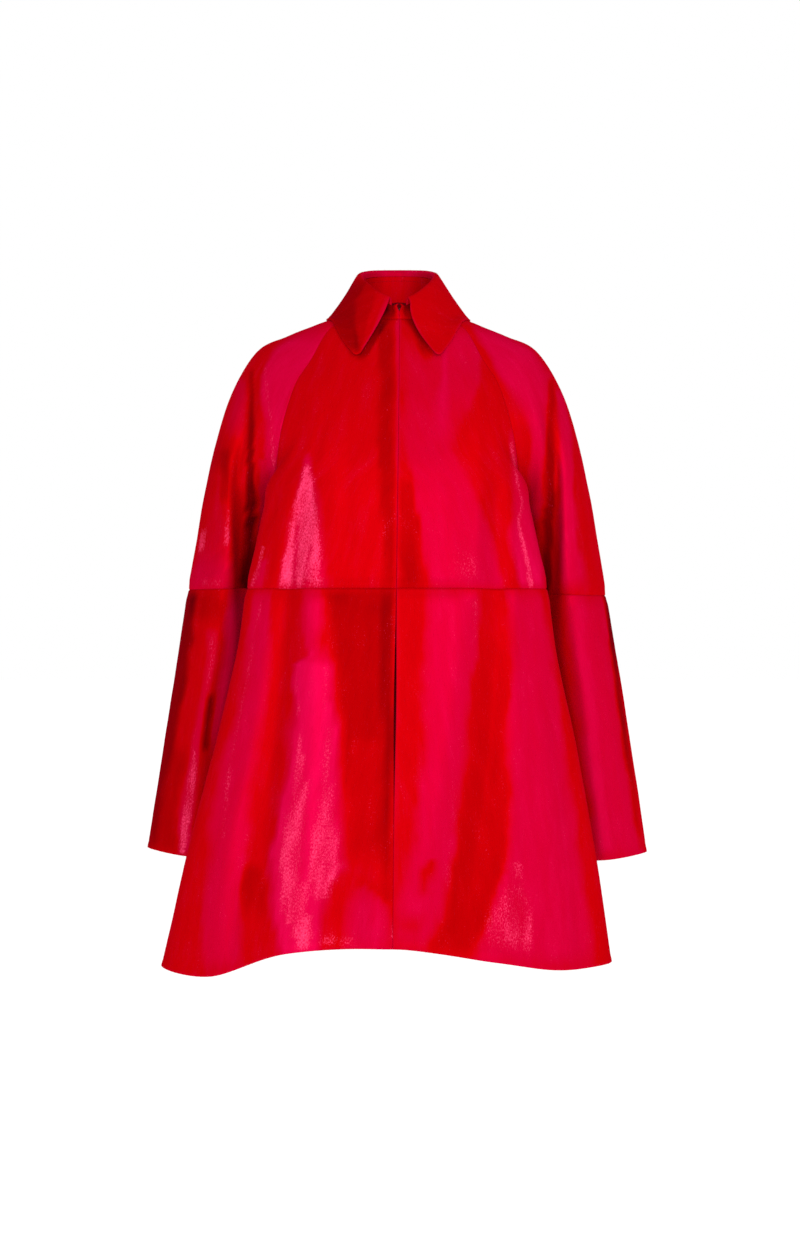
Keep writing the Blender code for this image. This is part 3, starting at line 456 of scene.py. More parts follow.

# Strokes of painted sheen and painted shade, for each part and side: rows (y, left, right) in pixels of the
# picture, and how much at the first and last row, from -2, the darkest painted shade, over 0, plain red, to
# 1, the pinkest painted sheen. They paint the pink highlights on the folds, shade in valleys and beside the
# body, and shadows beside the collar's edges. Where strokes overlap they add up.
PICTURE_SHEEN_AND_SHADE = {
    ("bodice", "left"): (
        (((455, 305, 310), (500, 297, 318), (540, 289, 322), (562, 284, 326), (588, 279, 328)), 0.7, 0.8),
        (((560, 258, 266), (588, 250, 262)), 0.5, 0.6),
        (((326, 380, 394), (400, 380, 394), (480, 380, 394), (588, 384, 394)), -0.6, -0.5),
        (((322, 396, 400), (400, 397, 400), (480, 397, 400)), 0.4, 0.3),
        # painted shadow beside the left fall's front edge
        (((318, 370, 392), (326, 370, 385), (340, 362, 378), (358, 356, 366)), -1.4, -0.9),
    ),
    ("skirt", "left"): (
        (((592, 299, 324), (620, 303, 322), (645, 307, 318), (657, 309, 315)), 0.8, 0.6),
        (((656, 306, 329), (664, 292, 331), (700, 293, 332), (750, 289, 335), (800, 280, 338),
          (850, 272, 342), (868, 272, 345), (882, 272, 334), (900, 272, 328), (930, 275, 320),
          (955, 278, 318)), 0.95, 0.95),
        (((592, 255, 271), (660, 247, 268), (700, 240, 264), (750, 228, 257), (800, 215, 250),
          (850, 210, 246), (900, 207, 243), (968, 204, 240)), 0.65, 0.5),
        (((888, 358, 366), (905, 352, 388), (930, 346, 393), (955, 343, 394)), 0.6, 0.75),
        (((592, 328, 394), (660, 336, 394), (700, 340, 394), (780, 342, 392),
          (860, 350, 392)), -0.65, -0.4),
        (((592, 256, 394), (604, 256, 394)), -0.2, -0.1),
        (((866, 243, 262), (912, 240, 270)), -0.5, -0.3),
        (((592, 380, 394), (700, 382, 394), (900, 384, 394), (950, 386, 394)), -0.5, -0.4),
        (((740, 345, 378), (800, 345, 378), (870, 350, 374)), 0.2, 0.2),
    ),
    ("bodice", "right"): (
        (((345, 405, 450), (413, 408, 452), (450, 409, 453), (493, 414, 476), (540, 420, 494),
          (588, 430, 503)), 0.25, 0.6),
        (((330, 444, 486), (372, 446, 482), (405, 440, 474), (440, 436, 458)), 0.55, 0.2),
        (((480, 399, 416), (588, 399, 418)), -0.2, -0.7),
        (((430, 508, 514), (465, 511, 519), (500, 514, 531), (545, 513, 541), (588, 521, 547)), 0.3, 1.0),
        # painted shadow beside the right fall's front edge
        (((316, 402, 422), (326, 412, 424), (340, 418, 428), (356, 424, 434)), -1.2, -0.7),
    ),
    ("skirt", "right"): (
        (((592, 425, 477), (660, 425, 474), (720, 422, 468), (780, 420, 460), (840, 414, 452),
          (900, 399, 446), (945, 398, 431)), 0.6, 0.6),
        (((592, 504, 540), (660, 514, 552), (720, 513, 557), (800, 508, 572), (870, 503, 580),
          (900, 490, 584), (930, 480, 588), (966, 477, 590)), 0.55, 0.65),
        (((640, 478, 512), (720, 471, 511), (800, 457, 506), (860, 450, 502), (910, 438, 484),
          (950, 427, 470)), -0.1, -0.4),
        (((592, 400, 422), (700, 400, 420), (780, 400, 414)), -0.15, -0.05),
        (((860, 424, 432), (895, 417, 430)), -0.8, -0.5),
        (((918, 404, 422), (934, 403, 420)), -0.5, -0.5),
    ),
    ("upper_sleeve", "left"): (
        (((330, 300, 334), (350, 275, 320), (376, 263, 302), (400, 264, 293), (440, 266, 284),
          (480, 268, 277), (520, 263, 268)), 0.75, 0.6),
        (((380, 238, 246), (420, 226, 242), (470, 214, 238), (520, 204, 234), (560, 200, 226)), 0.4, 0.1),
        # painted shade in the valley beside the underarm
        (((370, 250, 254), (400, 249, 254), (440, 248, 254), (480, 246, 254), (540, 243, 253),
          (592, 240, 252)), -0.6, -2.6),
        (((460, 260, 266), (500, 258, 269), (560, 255, 267)), 0.4, 0.6),
        (((450, 221, 229), (500, 218, 228)), -0.5, -0.4),
        (((470, 208, 222), (520, 200, 230), (592, 192, 232)), 0.3, 0.6),
        (((440, 205, 240), (560, 192, 236)), -0.5, -0.4),
    ),
    ("lower_sleeve", "left"): (
        (((592, 170, 198), (700, 158, 182), (780, 146, 168), (850, 136, 156)), -1.3, -1.0),
        (((592, 190, 228), (606, 190, 228), (620, 190, 224)), -0.5, -0.4),
        (((596, 228, 250), (640, 224, 246), (700, 216, 234), (750, 208, 226)), 0.9, 0.6),
        (((695, 208, 214), (720, 205, 212), (750, 202, 209)), -1.6, -1.4),
        (((750, 170, 188), (850, 155, 178)), -0.45, -0.45),
        (((630, 206, 217), (660, 206, 216), (700, 199, 206), (760, 190, 198), (800, 184, 196),
          (852, 178, 190)), 0.3, 0.7),
    ),
    ("upper_sleeve", "right"): (
        (((328, 476, 496), (350, 488, 530), (376, 503, 546), (400, 517, 545), (440, 531, 544),
          (480, 530, 542), (520, 530, 540)), 0.8, 0.4),
        (((380, 547, 552), (440, 546, 554), (500, 546, 556), (560, 542, 551),
          (592, 544, 551)), -0.5, -1.7),
        (((390, 555, 562), (440, 560, 572), (500, 562, 576), (586, 562, 584)), 0.6, 0.7),
    ),
    ("lower_sleeve", "right"): (
        (((592, 564, 580), (680, 574, 592), (760, 588, 602), (850, 600, 610)), 0.3, 0.2),
        # painted shade in the narrow gap beside the body
        (((592, 602, 607), (690, 616, 621), (770, 627, 632), (850, 638, 642)), -2.0, -0.3),
        (((594, 568, 603), (700, 578, 618), (800, 588, 632), (858, 596, 642)), 0.45, 0.6),
    ),
    ("fall", "left"): (
        # painted shade on the fall's outer half, which turns away from the light
        (((280, 340, 366), (300, 325, 352), (325, 325, 352), (352, 335, 358)), -0.9, -0.8),
        (((280, 366, 380), (300, 352, 372), (325, 352, 366), (352, 354, 360)), -0.4, -0.3),
        (((300, 385, 389), (330, 373, 377), (354, 360, 363)), 0.3, 0.3),
    ),
    ("fall", "right"): (
        (((264, 330, 475), (350, 330, 475)), -0.05, -0.05),
    ),
    # painted shadow in the hollow beside the left fall's front edge, on the stand's end
    ("stand", "left"): (
        (((300, 372, 393), (320, 368, 392)), -2.6, -1.8),
    ),
    # painted shadow in the hollow beside the right fall's front edge, on the stand's end
    ("stand", "right"): (
        (((300, 403, 422), (316, 404, 424)), -2.6, -1.2),
    ),
    # painted highlight along the inside of the roll
    ("collar_inside", "left"): (
        (((264, 340, 460), (276, 340, 460)), 0.9, 0.9),
    ),
    ("collar_inside", "right"): (
        (((264, 330, 450), (276, 330, 450)), 0.9, 0.9),
    ),
}

# Painted glints: where pale specks of painted highlight are laid, in the same columns, from 0 to 1
PICTURE_GLINTS = {
    ("bodice", "left"): (
        (((464, 304, 310), (480, 301, 314), (500, 295, 317), (520, 291, 320), (540, 287, 322),
          (560, 283, 324), (588, 278, 324)), 0.75, 0.8),
        (((525, 296, 299), (550, 294, 297), (588, 292, 296)), -0.5, -0.4),
        (((545, 308, 312), (565, 305, 310), (588, 303, 309)), -0.35, -0.35),
        (((545, 261, 265), (586, 250, 255)), 0.5, 0.6),
    ),
    ("bodice", "right"): (
        (((548, 452, 474), (578, 448, 478)), 0.22, 0.25),
        (((440, 509, 513), (465, 512, 516), (485, 516, 520), (500, 521, 524), (520, 516, 520),
          (535, 519, 523), (555, 524, 528), (588, 528, 534)), 0.5, 0.7),
    ),
    ("skirt", "left"): (
        (((664, 293, 296), (700, 295, 298), (740, 297, 300), (760, 295, 303), (790, 291, 305),
          (830, 283, 303), (860, 281, 304), (900, 282, 307), (930, 288, 316), (950, 296, 312)), 0.45, 0.6),
        (((664, 324, 327), (700, 324, 328), (740, 322, 328), (780, 319, 331), (830, 311, 336),
          (850, 311, 340), (866, 311, 345), (876, 312, 338), (900, 312, 328)), 0.4, 0.6),
        (((596, 260, 263), (660, 249, 253), (720, 237, 241), (780, 226, 231), (840, 219, 224)), 0.4, 0.3),
        (((938, 322, 358), (944, 322, 358)), 0.6, 0.6),
        (((922, 388, 394), (940, 386, 394)), 0.4, 0.5),
    ),
    ("skirt", "right"): (
        (((884, 506, 520), (905, 488, 528), (925, 477, 532), (948, 482, 534)), 0.35, 0.45),
        (((862, 508, 520), (880, 510, 522)), 0.4, 0.35),
        (((598, 472, 476), (642, 471, 475)), 0.4, 0.35),
        (((755, 453, 456), (840, 448, 452), (900, 441, 445)), 0.35, 0.35),
    ),
    ("upper_sleeve", "left"): (
        (((508, 226, 229), (528, 224, 230), (546, 223, 228)), 0.55, 0.55),
        (((528, 202, 207), (540, 199, 207), (552, 198, 204)), 0.6, 0.6),
        (((579, 203, 223), (585, 203, 223)), 0.6, 0.6),
        (((366, 264, 267), (400, 268, 271), (440, 271, 274), (468, 273, 276)), 0.4, 0.45),
    ),
    ("lower_sleeve", "left"): (
        (((632, 208, 216), (660, 207, 214), (700, 202, 207)), 0.35, 0.25),
        (((748, 193, 197), (790, 187, 196), (820, 183, 192), (854, 178, 186)), 0.5, 0.7),
    ),
}

# The creases of the back in the same columns, where (x, z) are true places in millimetres
BACK_CREASES = {
    ("body", "left"): (
        (((-70, -200), (-84, -330), (-98, -480), (-112, -640), (-128, -860)), 14, 24, -0.8, -2.8),
        (((-30, -180), (-40, -330), (-52, -500), (-62, -700), (-70, -860)), 18, 30, 0.8, 2.4),
        (((-130, -330), (-146, -480), (-168, -640), (-205, -870)), 16, 26, 0.8, 2.4),
        (((-160, -300), (-146, -360), (-126, -410)), 7, 9, -0.8, -1.4),
        (((-20, -560), (-24, -700), (-30, -868)), 10, 18, -0.5, -2.2),
        (((-190, -640), (-214, -760), (-236, -880)), 10, 16, -0.5, -2.0),
    ),
    ("body", "right"): (
        (((66, -190), (80, -330), (96, -480), (106, -640), (118, -860)), 15, 24, -0.8, -2.6),
        (((24, -170), (34, -330), (44, -500), (60, -700), (66, -860)), 20, 30, 0.8, 2.4),
        (((126, -330), (140, -480), (160, -640), (196, -870)), 16, 26, 0.8, 2.6),
        (((162, -290), (150, -350), (134, -395)), 7, 9, -0.8, -1.4),
        (((12, -600), (16, -720), (14, -868)), 10, 18, -0.5, -2.2),
        (((180, -660), (204, -770), (226, -884)), 10, 16, -0.5, -2.0),
    ),
    ("sleeve", "left"): (
        (((-190, -130), (-204, -220), (-212, -330), (-222, -400)), 9, 12, -0.8, -2.0),
        (((-216, -150), (-232, -250), (-246, -380)), 8, 10, 0.7, 1.5),
        (((-210, -330), (-228, -352), (-250, -364)), 5, 7, -0.6, -1.2),
        (((-240, -430), (-254, -560), (-268, -740)), 8, 12, 0.7, 1.8),
        (((-262, -440), (-280, -580), (-300, -735)), 8, 10, -0.6, -1.6),
    ),
    ("sleeve", "right"): (
        (((188, -130), (202, -220), (214, -330), (224, -400)), 9, 12, -0.8, -2.0),
        (((218, -150), (234, -250), (248, -380)), 8, 10, 0.7, 1.5),
        (((212, -340), (230, -360), (252, -370)), 5, 7, -0.6, -1.2),
        (((242, -440), (256, -570), (270, -740)), 8, 12, 0.7, 1.8),
        (((264, -450), (282, -590), (302, -735)), 8, 10, -0.6, -1.6),
    ),
}

# Strokes of painted sheen and painted shade at the back, with rows (z, left, right) in millimetres, and its
# painted glints
BACK_SHEEN_AND_SHADE = {
    ("bodice", "left"): (
        (((-110, -60, -40), (-330, -92, -44), (-480, -118, -50)), 0.1, 0.8),
        (((-260, -52, -16), (-480, -44, -10)), 0.0, -0.5),
    ),
    ("skirt", "left"): (
        (((-485, -74, -30), (-700, -98, -22), (-860, -120, -26)), 0.3, 0.75),
        (((-485, -112, -84), (-640, -134, -96), (-860, -146, -112)), -0.2, -0.7),
        (((-485, -160, -140), (-660, -200, -152), (-870, -240, -180)), 0.1, 0.6),
    ),
    ("bodice", "right"): (
        (((-130, 10, 44), (-300, 9, 67), (-480, 12, 88)), 0.1, 0.65),
        (((-220, 96, 130), (-480, 110, 150)), 0.0, -0.5),
    ),
    ("skirt", "right"): (
        (((-485, 18, 86), (-700, 25, 92), (-860, 30, 110)), 0.35, 0.6),
        (((-485, 94, 112), (-640, 94, 126), (-860, 112, 146)), -0.3, -0.8),
        (((-485, 128, 150), (-650, 139, 189), (-870, 170, 236)), 0.1, 0.6),
    ),
    ("upper_sleeve", "left"): (
        (((-120, -202, -178), (-240, -218, -194), (-400, -226, -202)), -0.3, -0.8),
        (((-180, -232, -212), (-300, -249, -227), (-395, -260, -236)), 0.3, 0.6),
    ),
    ("lower_sleeve", "left"): (
        (((-410, -262, -230), (-600, -275, -241), (-745, -290, -254)), 0.2, 0.7),
    ),
    ("upper_sleeve", "right"): (
        (((-120, 176, 200), (-240, 192, 216), (-400, 202, 226)), -0.3, -0.8),
        (((-180, 212, 232), (-300, 227, 249), (-395, 238, 262)), 0.3, 0.6),
    ),
    ("lower_sleeve", "right"): (
        (((-410, 232, 264), (-600, 243, 277), (-745, 256, 292)), 0.2, 0.7),
    ),
}
BACK_GLINTS = {
    ("bodice", "left"): (
        (((-240, -68, -64), (-330, -80, -68), (-480, -96, -76)), 0.5, 0.8),
    ),
    ("skirt", "left"): (
        (((-540, -64, -52), (-700, -78, -50), (-855, -94, -54)), 0.4, 0.6),
    ),
    ("bodice", "right"): (
        (((-330, 40, 48), (-400, 45, 59), (-480, 44, 64)), 0.5, 0.7),
    ),
    ("skirt", "right"): (
        (((-640, 52, 64), (-760, 46, 78), (-860, 52, 80)), 0.5, 0.5),
    ),
    ("lower_sleeve", "left"): (
        (((-560, -266, -258), (-700, -277, -263)), 0.5, 0.6),
    ),
    ("lower_sleeve", "right"): (
        (((-560, 254, 262), (-700, 261, 275)), 0.5, 0.6),
    ),
}

# What each piece was cut to, in metres: its greatest width and length, its area, and what carries it
CUTS = {
    "front_upper": (0.315, 0.453, 0.077, ("sleeve_front_upper", "collar_stand")),
    "front_lower": (0.465, 0.505, 0.196, ("front_upper",)),
    "back_upper": (0.637, 0.490, 0.160, ("sleeve_back_upper", "collar_stand")),
    "back_lower": (0.865, 0.506, 0.364, ("back_upper",)),
    "sleeve_front_upper": (0.186, 0.480, 0.060, ("front_upper", "collar_stand")),
    "sleeve_back_upper": (0.201, 0.500, 0.063, ("back_upper", "collar_stand")),
    "sleeve_front_lower": (0.187, 0.361, 0.065, ("sleeve_front_upper",)),
    "sleeve_back_lower": (0.189, 0.361, 0.065, ("sleeve_back_upper",)),
    "collar_stand": (0.415, 0.048, 0.015, (
        "front_upper", "back_upper", "sleeve_front_upper", "sleeve_back_upper")),
    "collar_fall": (0.585, 0.112, 0.042, ("collar_stand",)),
}


# ------------------------------------------------------------- curves

def hermite(start, end, leave, arrive, t):
    """A point of the cubic from start to end, with these tangents at its ends."""
    a = 2 * t**3 - 3 * t**2 + 1
    b = t**3 - 2 * t**2 + t
    c = -2 * t**3 + 3 * t**2
    d = t**3 - t**2
    return a * start + b * leave + c * end + d * arrive


def smooth_line(points, at):
    """The smooth curve through points at each place in at, which counts from 0 at the first point."""
    points = np.asarray(points, float)
    slopes = np.empty_like(points)
    slopes[1:-1] = (points[2:] - points[:-2]) / 2
    slopes[0] = points[1] - points[0]
    slopes[-1] = points[-1] - points[-2]
    at = np.asarray(at, float)
    i = np.clip(np.floor(at).astype(int), 0, len(points) - 2)
    return hermite(points[i], points[i + 1], slopes[i], slopes[i + 1], (at - i)[:, None])


def swell(t):
    """A soft bump: 1 at t 0, falling smoothly to 0 at t -1 and 1."""
    return (1 - np.clip(t, -1, 1) ** 2) ** 2


def directions(vectors):
    """Vectors made one long."""
    return vectors / np.linalg.norm(vectors, axis=-1, keepdims=True)


def eased(t):
    """A smooth step from 0 at t 0 to 1 at t 1."""
    t = np.clip(t, 0, 1)
    return t * t * (3 - 2 * t)


def fine_path(points):
    """The smooth curve through points, cut into short steps."""
    return smooth_line(points, np.linspace(0, len(points) - 1, PATH_STEPS * (len(points) - 1) + 1))


def all_levels():
    """Places from the neck to the hem, with each stretch between two levels cut into its steps."""
    places = [0.0]
    for level, count in enumerate(LEVEL_STEPS):
        places += [level + (k + 1) / count for k in range(count)]
    return np.array(places)


def row_at(levels, level):
    """The row that is on a level."""
    return int(np.argmin(np.abs(levels - level)))


def neck_point(angle):
    """A point of the neck seam on the right half, for an angle from the centre front in degrees."""
    a = math.radians(angle)
    x = NECK_HALF_WIDTH * math.sin(a)
    y = NECK_CENTRE_Y - NECK_HALF_DEPTH * math.cos(a)
    z = -NECK_DROP * ((1 + math.cos(a)) / 2) ** NECK_TILT_SHAPE
    return np.array([x, y, z])


# ------------------------------------------------------------- the coat's lines and surfaces

def lines_of(side):
    """Each line that runs down one side of the coat, as its points at the levels it passes."""
    lines = {name: [neck_point(angle)] for name, angle in NECK_ANGLES.items()}
    for names, table in ((FRONT_LINES, FRONT), (BACK_LINES, BACK), (RAGLAN_LINES, RAGLAN)):
        for row in table:
            for name, point in zip(names, row):
                lines[name].append(np.array(point, float))
    underarm = np.array(RAGLAN[-1][0], float)
    lines["inner"] = [underarm]
    for row in TUBE:
        for name, point in zip(TUBE_LINES, row):
            lines[name].append(np.array(point, float))
    lines["side_seam"] = [underarm] + [np.array(point, float) for point in SIDE_SEAM]
    if side == "right":
        for name in TUBE_LINES:
            first = UNDERARM if name == "inner" else 0
            lines[name][SEAM_LEVEL - first][2] -= RIGHT_CROSS_SEAM_DROP
            lines[name][CUFF_LEVEL - first][2] -= RIGHT_CUFF_DROP
        for name, rise in RIGHT_HEM_RISE.items():
            lines[name][HEM_LEVEL][2] += rise
        for level, forward in enumerate(RIGHT_OVERARM_FORWARD):
            lines["overarm"][level][1] -= forward
    return lines


def edge_points(lines, raglan, below, levels):
    """A panel's edge: the raglan seam down to the underarm, then the line that follows it there."""
    above = smooth_line(lines[raglan], levels[levels <= UNDERARM])
    past = levels[levels > UNDERARM] - UNDERARM
    under = smooth_line(lines[below], past)
    if below == "inner":
        under[:, 0] += UNDERARM_ROUND * swell(2 * past - 1) * (past < 1)
    return np.concatenate([above, under])


def lean(points, side, body=True):
    """Points of the right half taken to their side, with the coat's small lean."""
    points = np.array(points, float)
    z = points[..., 2]
    reach = np.abs(points[..., 0])
    near_middle = 1 - np.clip(reach / LEAN_MIDDLE_REACH, 0, 1)
    shift = np.interp(z, LEAN_Z, LEAN_MIDDLE) * near_middle
    if body:
        shift = shift + np.interp(z, LEAN_Z, LEAN_SIDES) * np.clip(reach / LEAN_SIDE_REACH, 0, 1)
    if side == "left":
        points[..., 0] *= -1
    points[..., 0] += shift
    return points


def across(before, points, after, leave, arrive, steps):
    """Samples of the smooth curve through points, steps to a stretch. before and after are the neighbours
    past its ends. leave and arrive say how sharply it turns there: 0 flows on, 1 ignores the neighbour."""
    slopes = [None] * len(points)
    for i in range(1, len(points) - 1):
        slopes[i] = (points[i + 1] - points[i - 1]) / 2
    slopes[0] = (1 - leave) * (points[1] - before) / 2 + leave * (points[1] - points[0])
    slopes[-1] = (1 - arrive) * (after - points[-2]) / 2 + arrive * (points[-1] - points[-2])
    samples = [points[0]]
    for i in range(len(points) - 1):
        for k in range(1, steps + 1):
            samples.append(hermite(points[i], points[i + 1], slopes[i], slopes[i + 1], k / steps))
    return samples


def mirrored(point):
    """A point taken to the other half of the coat."""
    return point * np.array([-1, 1, 1])


def surfaces_of(side, levels):
    """The four outer surfaces of one side as grids of points, a row for each level."""
    lines = lines_of(side)
    arm_levels = levels[levels <= CUFF_LEVEL]
    arm_rows = len(arm_levels)
    at = {name: smooth_line(lines[name], levels) for name in FRONT_LINES + BACK_LINES}
    at.update({name: smooth_line(lines[name], arm_levels) for name in TUBE_LINES[1:]})
    crease = np.interp(levels, range(len(CREASE)), CREASE)[:, None]
    joined = (arm_levels <= UNDERARM)[:, None]
    front = [at[name] for name in FRONT_LINES] + [edge_points(lines, "front_raglan", "side_seam", levels)]
    back = [edge_points(lines, "back_raglan", "side_seam", levels)] + [at[name] for name in BACK_LINES]
    past_front, past_back = back[1].copy(), front[-2].copy()
    past_front[:arm_rows] = np.where(joined, at["sleeve_front"], back[1][:arm_rows])
    past_back[:arm_rows] = np.where(joined, at["sleeve_back"], front[-2][:arm_rows])
    arm = [edge_points(lines, "front_raglan", "inner", arm_levels)]
    arm += [at[name] for name in TUBE_LINES[1:]]
    arm += [edge_points(lines, "back_raglan", "inner", arm_levels)]
    before = np.where(joined, front[-2][:arm_rows], arm[-2])
    after = np.where(joined, back[1][:arm_rows], arm[1])
    sleeve = across(before, arm, after, crease[:arm_rows], crease[:arm_rows], SLEEVE_STEPS)
    middle = 2 * SLEEVE_STEPS
    grids = {
        "front": across(mirrored(front[1]), front, past_front, 0, crease, FRONT_STEPS),
        "back": across(past_back, back, mirrored(back[-2]), crease, 0, BACK_STEPS),
        "sleeve_front": sleeve[: middle + 1],
        "sleeve_back": sleeve[middle:],
    }
    return {name: lean(np.stack(columns, axis=1), side, not name.startswith("sleeve"))
            for name, columns in grids.items()}


# ------------------------------------------------------------- ways out

def seam_key(point):
    """What points of two grids share where they meet."""
    return tuple(np.round(point, 2))


def balanced(faces):
    """The way out that lies evenly between the faces round a point, long enough to keep the wall's thickness
    where they meet at a fold."""
    way = np.sum(faces, axis=0)
    for _ in range(BALANCE_STEPS):
        way = way / np.linalg.norm(way)
        along = [np.dot(way, face) for face in faces]
        if min(along) > NEARLY_FLAT:
            break
        way = way + faces[int(np.argmin(along))] * BALANCE_STEP
    way = way / np.linalg.norm(way)
    least = min(np.dot(way, face) for face in faces)
    return way / np.clip(least, 1 / MITRE_LIMIT, 1)


def border(rows, columns):
    """The places round the border of a grid, once round."""
    there = [(0, j) for j in range(columns)] + [(i, columns - 1) for i in range(1, rows)]
    back = [(rows - 1, j) for j in range(columns - 2, -1, -1)] + [(i, 0) for i in range(rows - 2, 0, -1)]
    return there + back


def outward_ways(grids):
    """The way out at each point of every grid, shared where grids meet. turned grids face the other way."""
    around, ways = {}, []
    for grid, turned in grids:
        face = np.cross(grid[1:, 1:] - grid[:-1, :-1], grid[:-1, 1:] - grid[1:, :-1])
        face = directions(face * (-1 if turned else 1))
        way = np.zeros_like(grid)
        for rows in (slice(None, -1), slice(1, None)):
            for columns in (slice(None, -1), slice(1, None)):
                way[rows, columns] += face
        ways.append(directions(way))
        for i, j in border(*grid.shape[:2]):
            near = face[max(i - 1, 0): i + 1, max(j - 1, 0): j + 1].reshape(-1, 3)
            around.setdefault(seam_key(grid[i, j]), []).extend(near)
    shared = {key: balanced(faces) for key, faces in around.items()}
    for (grid, _), way in zip(grids, ways):
        for i, j in border(*grid.shape[:2]):
            way[i, j] = shared[seam_key(grid[i, j])]
    return ways


# ------------------------------------------------------------- folds and creases

def folded(place, levels, surface, side):
    """How far this surface's large folds stand out. They fade out at its seams."""
    from_edge = np.clip(np.minimum(place, 1 - place) / FOLD_FADE, 0, 1)
    lift = np.zeros((len(levels), len(place)))
    for top, bottom, s0, s1, w0, w1, d0, d1 in FOLDS[surface, side]:
        t = np.clip((levels - top) / (bottom - top), 0, 1)
        ends = np.clip(np.minimum(t, 1 - t) / FOLD_END, 0, 1)
        depth = (d0 + (d1 - d0) * t) * ends * ends * (3 - 2 * ends)
        centre = s0 + (s1 - s0) * t
        width = w0 + (w1 - w0) * t
        lift += depth[:, None] * swell((place[None, :] - centre[:, None]) / width[:, None])
    return lift * from_edge


def picture_place(x, y):
    """Where a pixel of the picture falls on the plane of the neck, as x and z in millimetres."""
    return ((x - PICTURE_MIDDLE[0]) * PIXEL + CAMERA_X, EYE_HEIGHT - (y - PICTURE_MIDDLE[1]) * PIXEL)


def picture_row(y, left, right):
    """A row of a stroke on the plane of the neck: its height and its two ends, in millimetres."""
    (start, height), (end, _) = picture_place(left, y), picture_place(right, y)
    return height, start, end


def seen_from_front(points):
    """Where points show from the camera, as x and z on the plane of the neck."""
    scale = CAMERA_DISTANCE / (CAMERA_DISTANCE + points[..., 1])
    x = CAMERA_X + (points[..., 0] - CAMERA_X) * scale
    z = EYE_HEIGHT + (points[..., 2] - EYE_HEIGHT) * scale
    return np.stack([x, z], axis=-1)


def along_path(spots, path):
    """For each spot, its distance from a path and how far along the path its nearest point is, 0 to 1."""
    knots = fine_path(path)
    best = np.full(spots.shape[:-1], np.inf)
    place = np.zeros(spots.shape[:-1])
    for k in range(len(knots) - 1):
        step = knots[k + 1] - knots[k]
        t = np.clip(((spots - knots[k]) @ step) / (step @ step), 0, 1)
        gap = np.linalg.norm(spots - knots[k] - t[..., None] * step, axis=-1)
        nearer = gap < best
        best = np.where(nearer, gap, best)
        place = np.where(nearer, (k + t) / (len(knots) - 1), place)
    return best, place


def views_of(points, ways, least):
    """Where points show from the front and from the back, and how much they face it, 0 to 1. A surface that
    faces it by least or more counts in full."""
    return ((seen_from_front(points), eased(-ways[..., 1] / least)),
            (points[..., [0, 2]], eased(ways[..., 1] / least)))


def creased(points, ways, surface, side):
    """How far the soft creases stand out over a surface."""
    total = np.zeros(points.shape[:2])
    part = "sleeve" if surface.startswith("sleeve") else "body"
    front = [([picture_place(*spot) for spot in path], *rest) for path, *rest in PICTURE_CREASES[part, side]]
    tables = (front, BACK_CREASES[part, side])
    for table, (spots, facing) in zip(tables, views_of(points, ways, FACING)):
        for path, w0, w1, h0, h1 in table:
            gap, t = along_path(spots, path)
            fade = eased(np.minimum(t, 1 - t) / CREASE_END + CREASE_START)
            total += (h0 + (h1 - h0) * t) * swell(gap / (w0 + (w1 - w0) * t)) * fade * facing
    return total


def stroked(points, ways, part, side, picture, back, soft):
    """The sum of the strokes of a front and a back table over a part, with edges about this soft."""
    total = np.zeros(points.shape[:2])
    wander = wavered(points, STROKE_WANDER)
    softness = soft * np.clip(1 + wavered(points, [SOFT_WANDER]), *SOFT_RANGE)
    front = [([picture_row(*row) for row in rows], *rest) for rows, *rest in picture.get((part, side), ())]
    tables = (front, back.get((part, side), ()))
    for table, (spots, facing) in zip(tables, views_of(points, ways, PAINT_FACING)):
        z = spots[..., 1]
        for rows, much0, much1 in table:
            heights, lefts, rights = np.array(rows, float)[::-1].T
            left, right = np.interp(z, heights, lefts), np.interp(z, heights, rights)
            wide = np.clip((right - left) / WIDE_STROKE, LEAST_WIDE, 1)
            x = spots[..., 0] + wander * wide
            inside = np.minimum(x - left, right - x) / (softness * wide)
            ends = np.minimum(heights[-1] - z, z - heights[0]) / (STROKE_END * softness * wide)
            t = (heights[-1] - z) / (heights[-1] - heights[0])
            much = np.interp(t, (0, 1), (much0, much1))
            total += much * eased(inside + STROKE_EDGE) * eased(ends + STROKE_EDGE) * facing
    return total


def wavered(points, waves):
    """The sum of these waves' lengths and heights at each point, the same on both sides of a seam."""
    out = np.zeros(points.shape[:2])
    for i, j in np.ndindex(out.shape):
        spot = Vector(points[i, j])
        out[i, j] = sum(height * noise.noise(spot / length) for length, height in waves)
    return out


def run_lengths(grid):
    """How far each point is from the top and from the first column, along the cloth."""
    down = np.zeros(grid.shape[:2])
    over = np.zeros(grid.shape[:2])
    down[1:] = np.cumsum(np.linalg.norm(np.diff(grid, axis=0), axis=2), axis=0)
    over[:, 1:] = np.cumsum(np.linalg.norm(np.diff(grid, axis=1), axis=2), axis=1)
    return down, over


def raglan_gaps(grid, surface):
    """How far each point is from each raglan seam of its surface, along the cloth."""
    _, over = run_lengths(grid)
    edges = {"front": (-1,), "back": (0,)}.get(surface, (0, -1))
    return [np.abs(over - over[:, column][:, None]) for column in edges]


def drawn_in(grid, surface, levels):
    """How far the seams pull the cloth in beside them."""
    down, _ = run_lengths(grid)
    total = -CROSS_SEAM_DRAW * swell((down - down[row_at(levels, SEAM_LEVEL)]) / CROSS_SEAM_REACH)
    fade = eased((UNDERARM - levels) / RAGLAN_FADE)[:, None]
    for gap in raglan_gaps(grid, surface):
        total -= RAGLAN_DRAW * swell(gap / RAGLAN_REACH) * fade
    return total


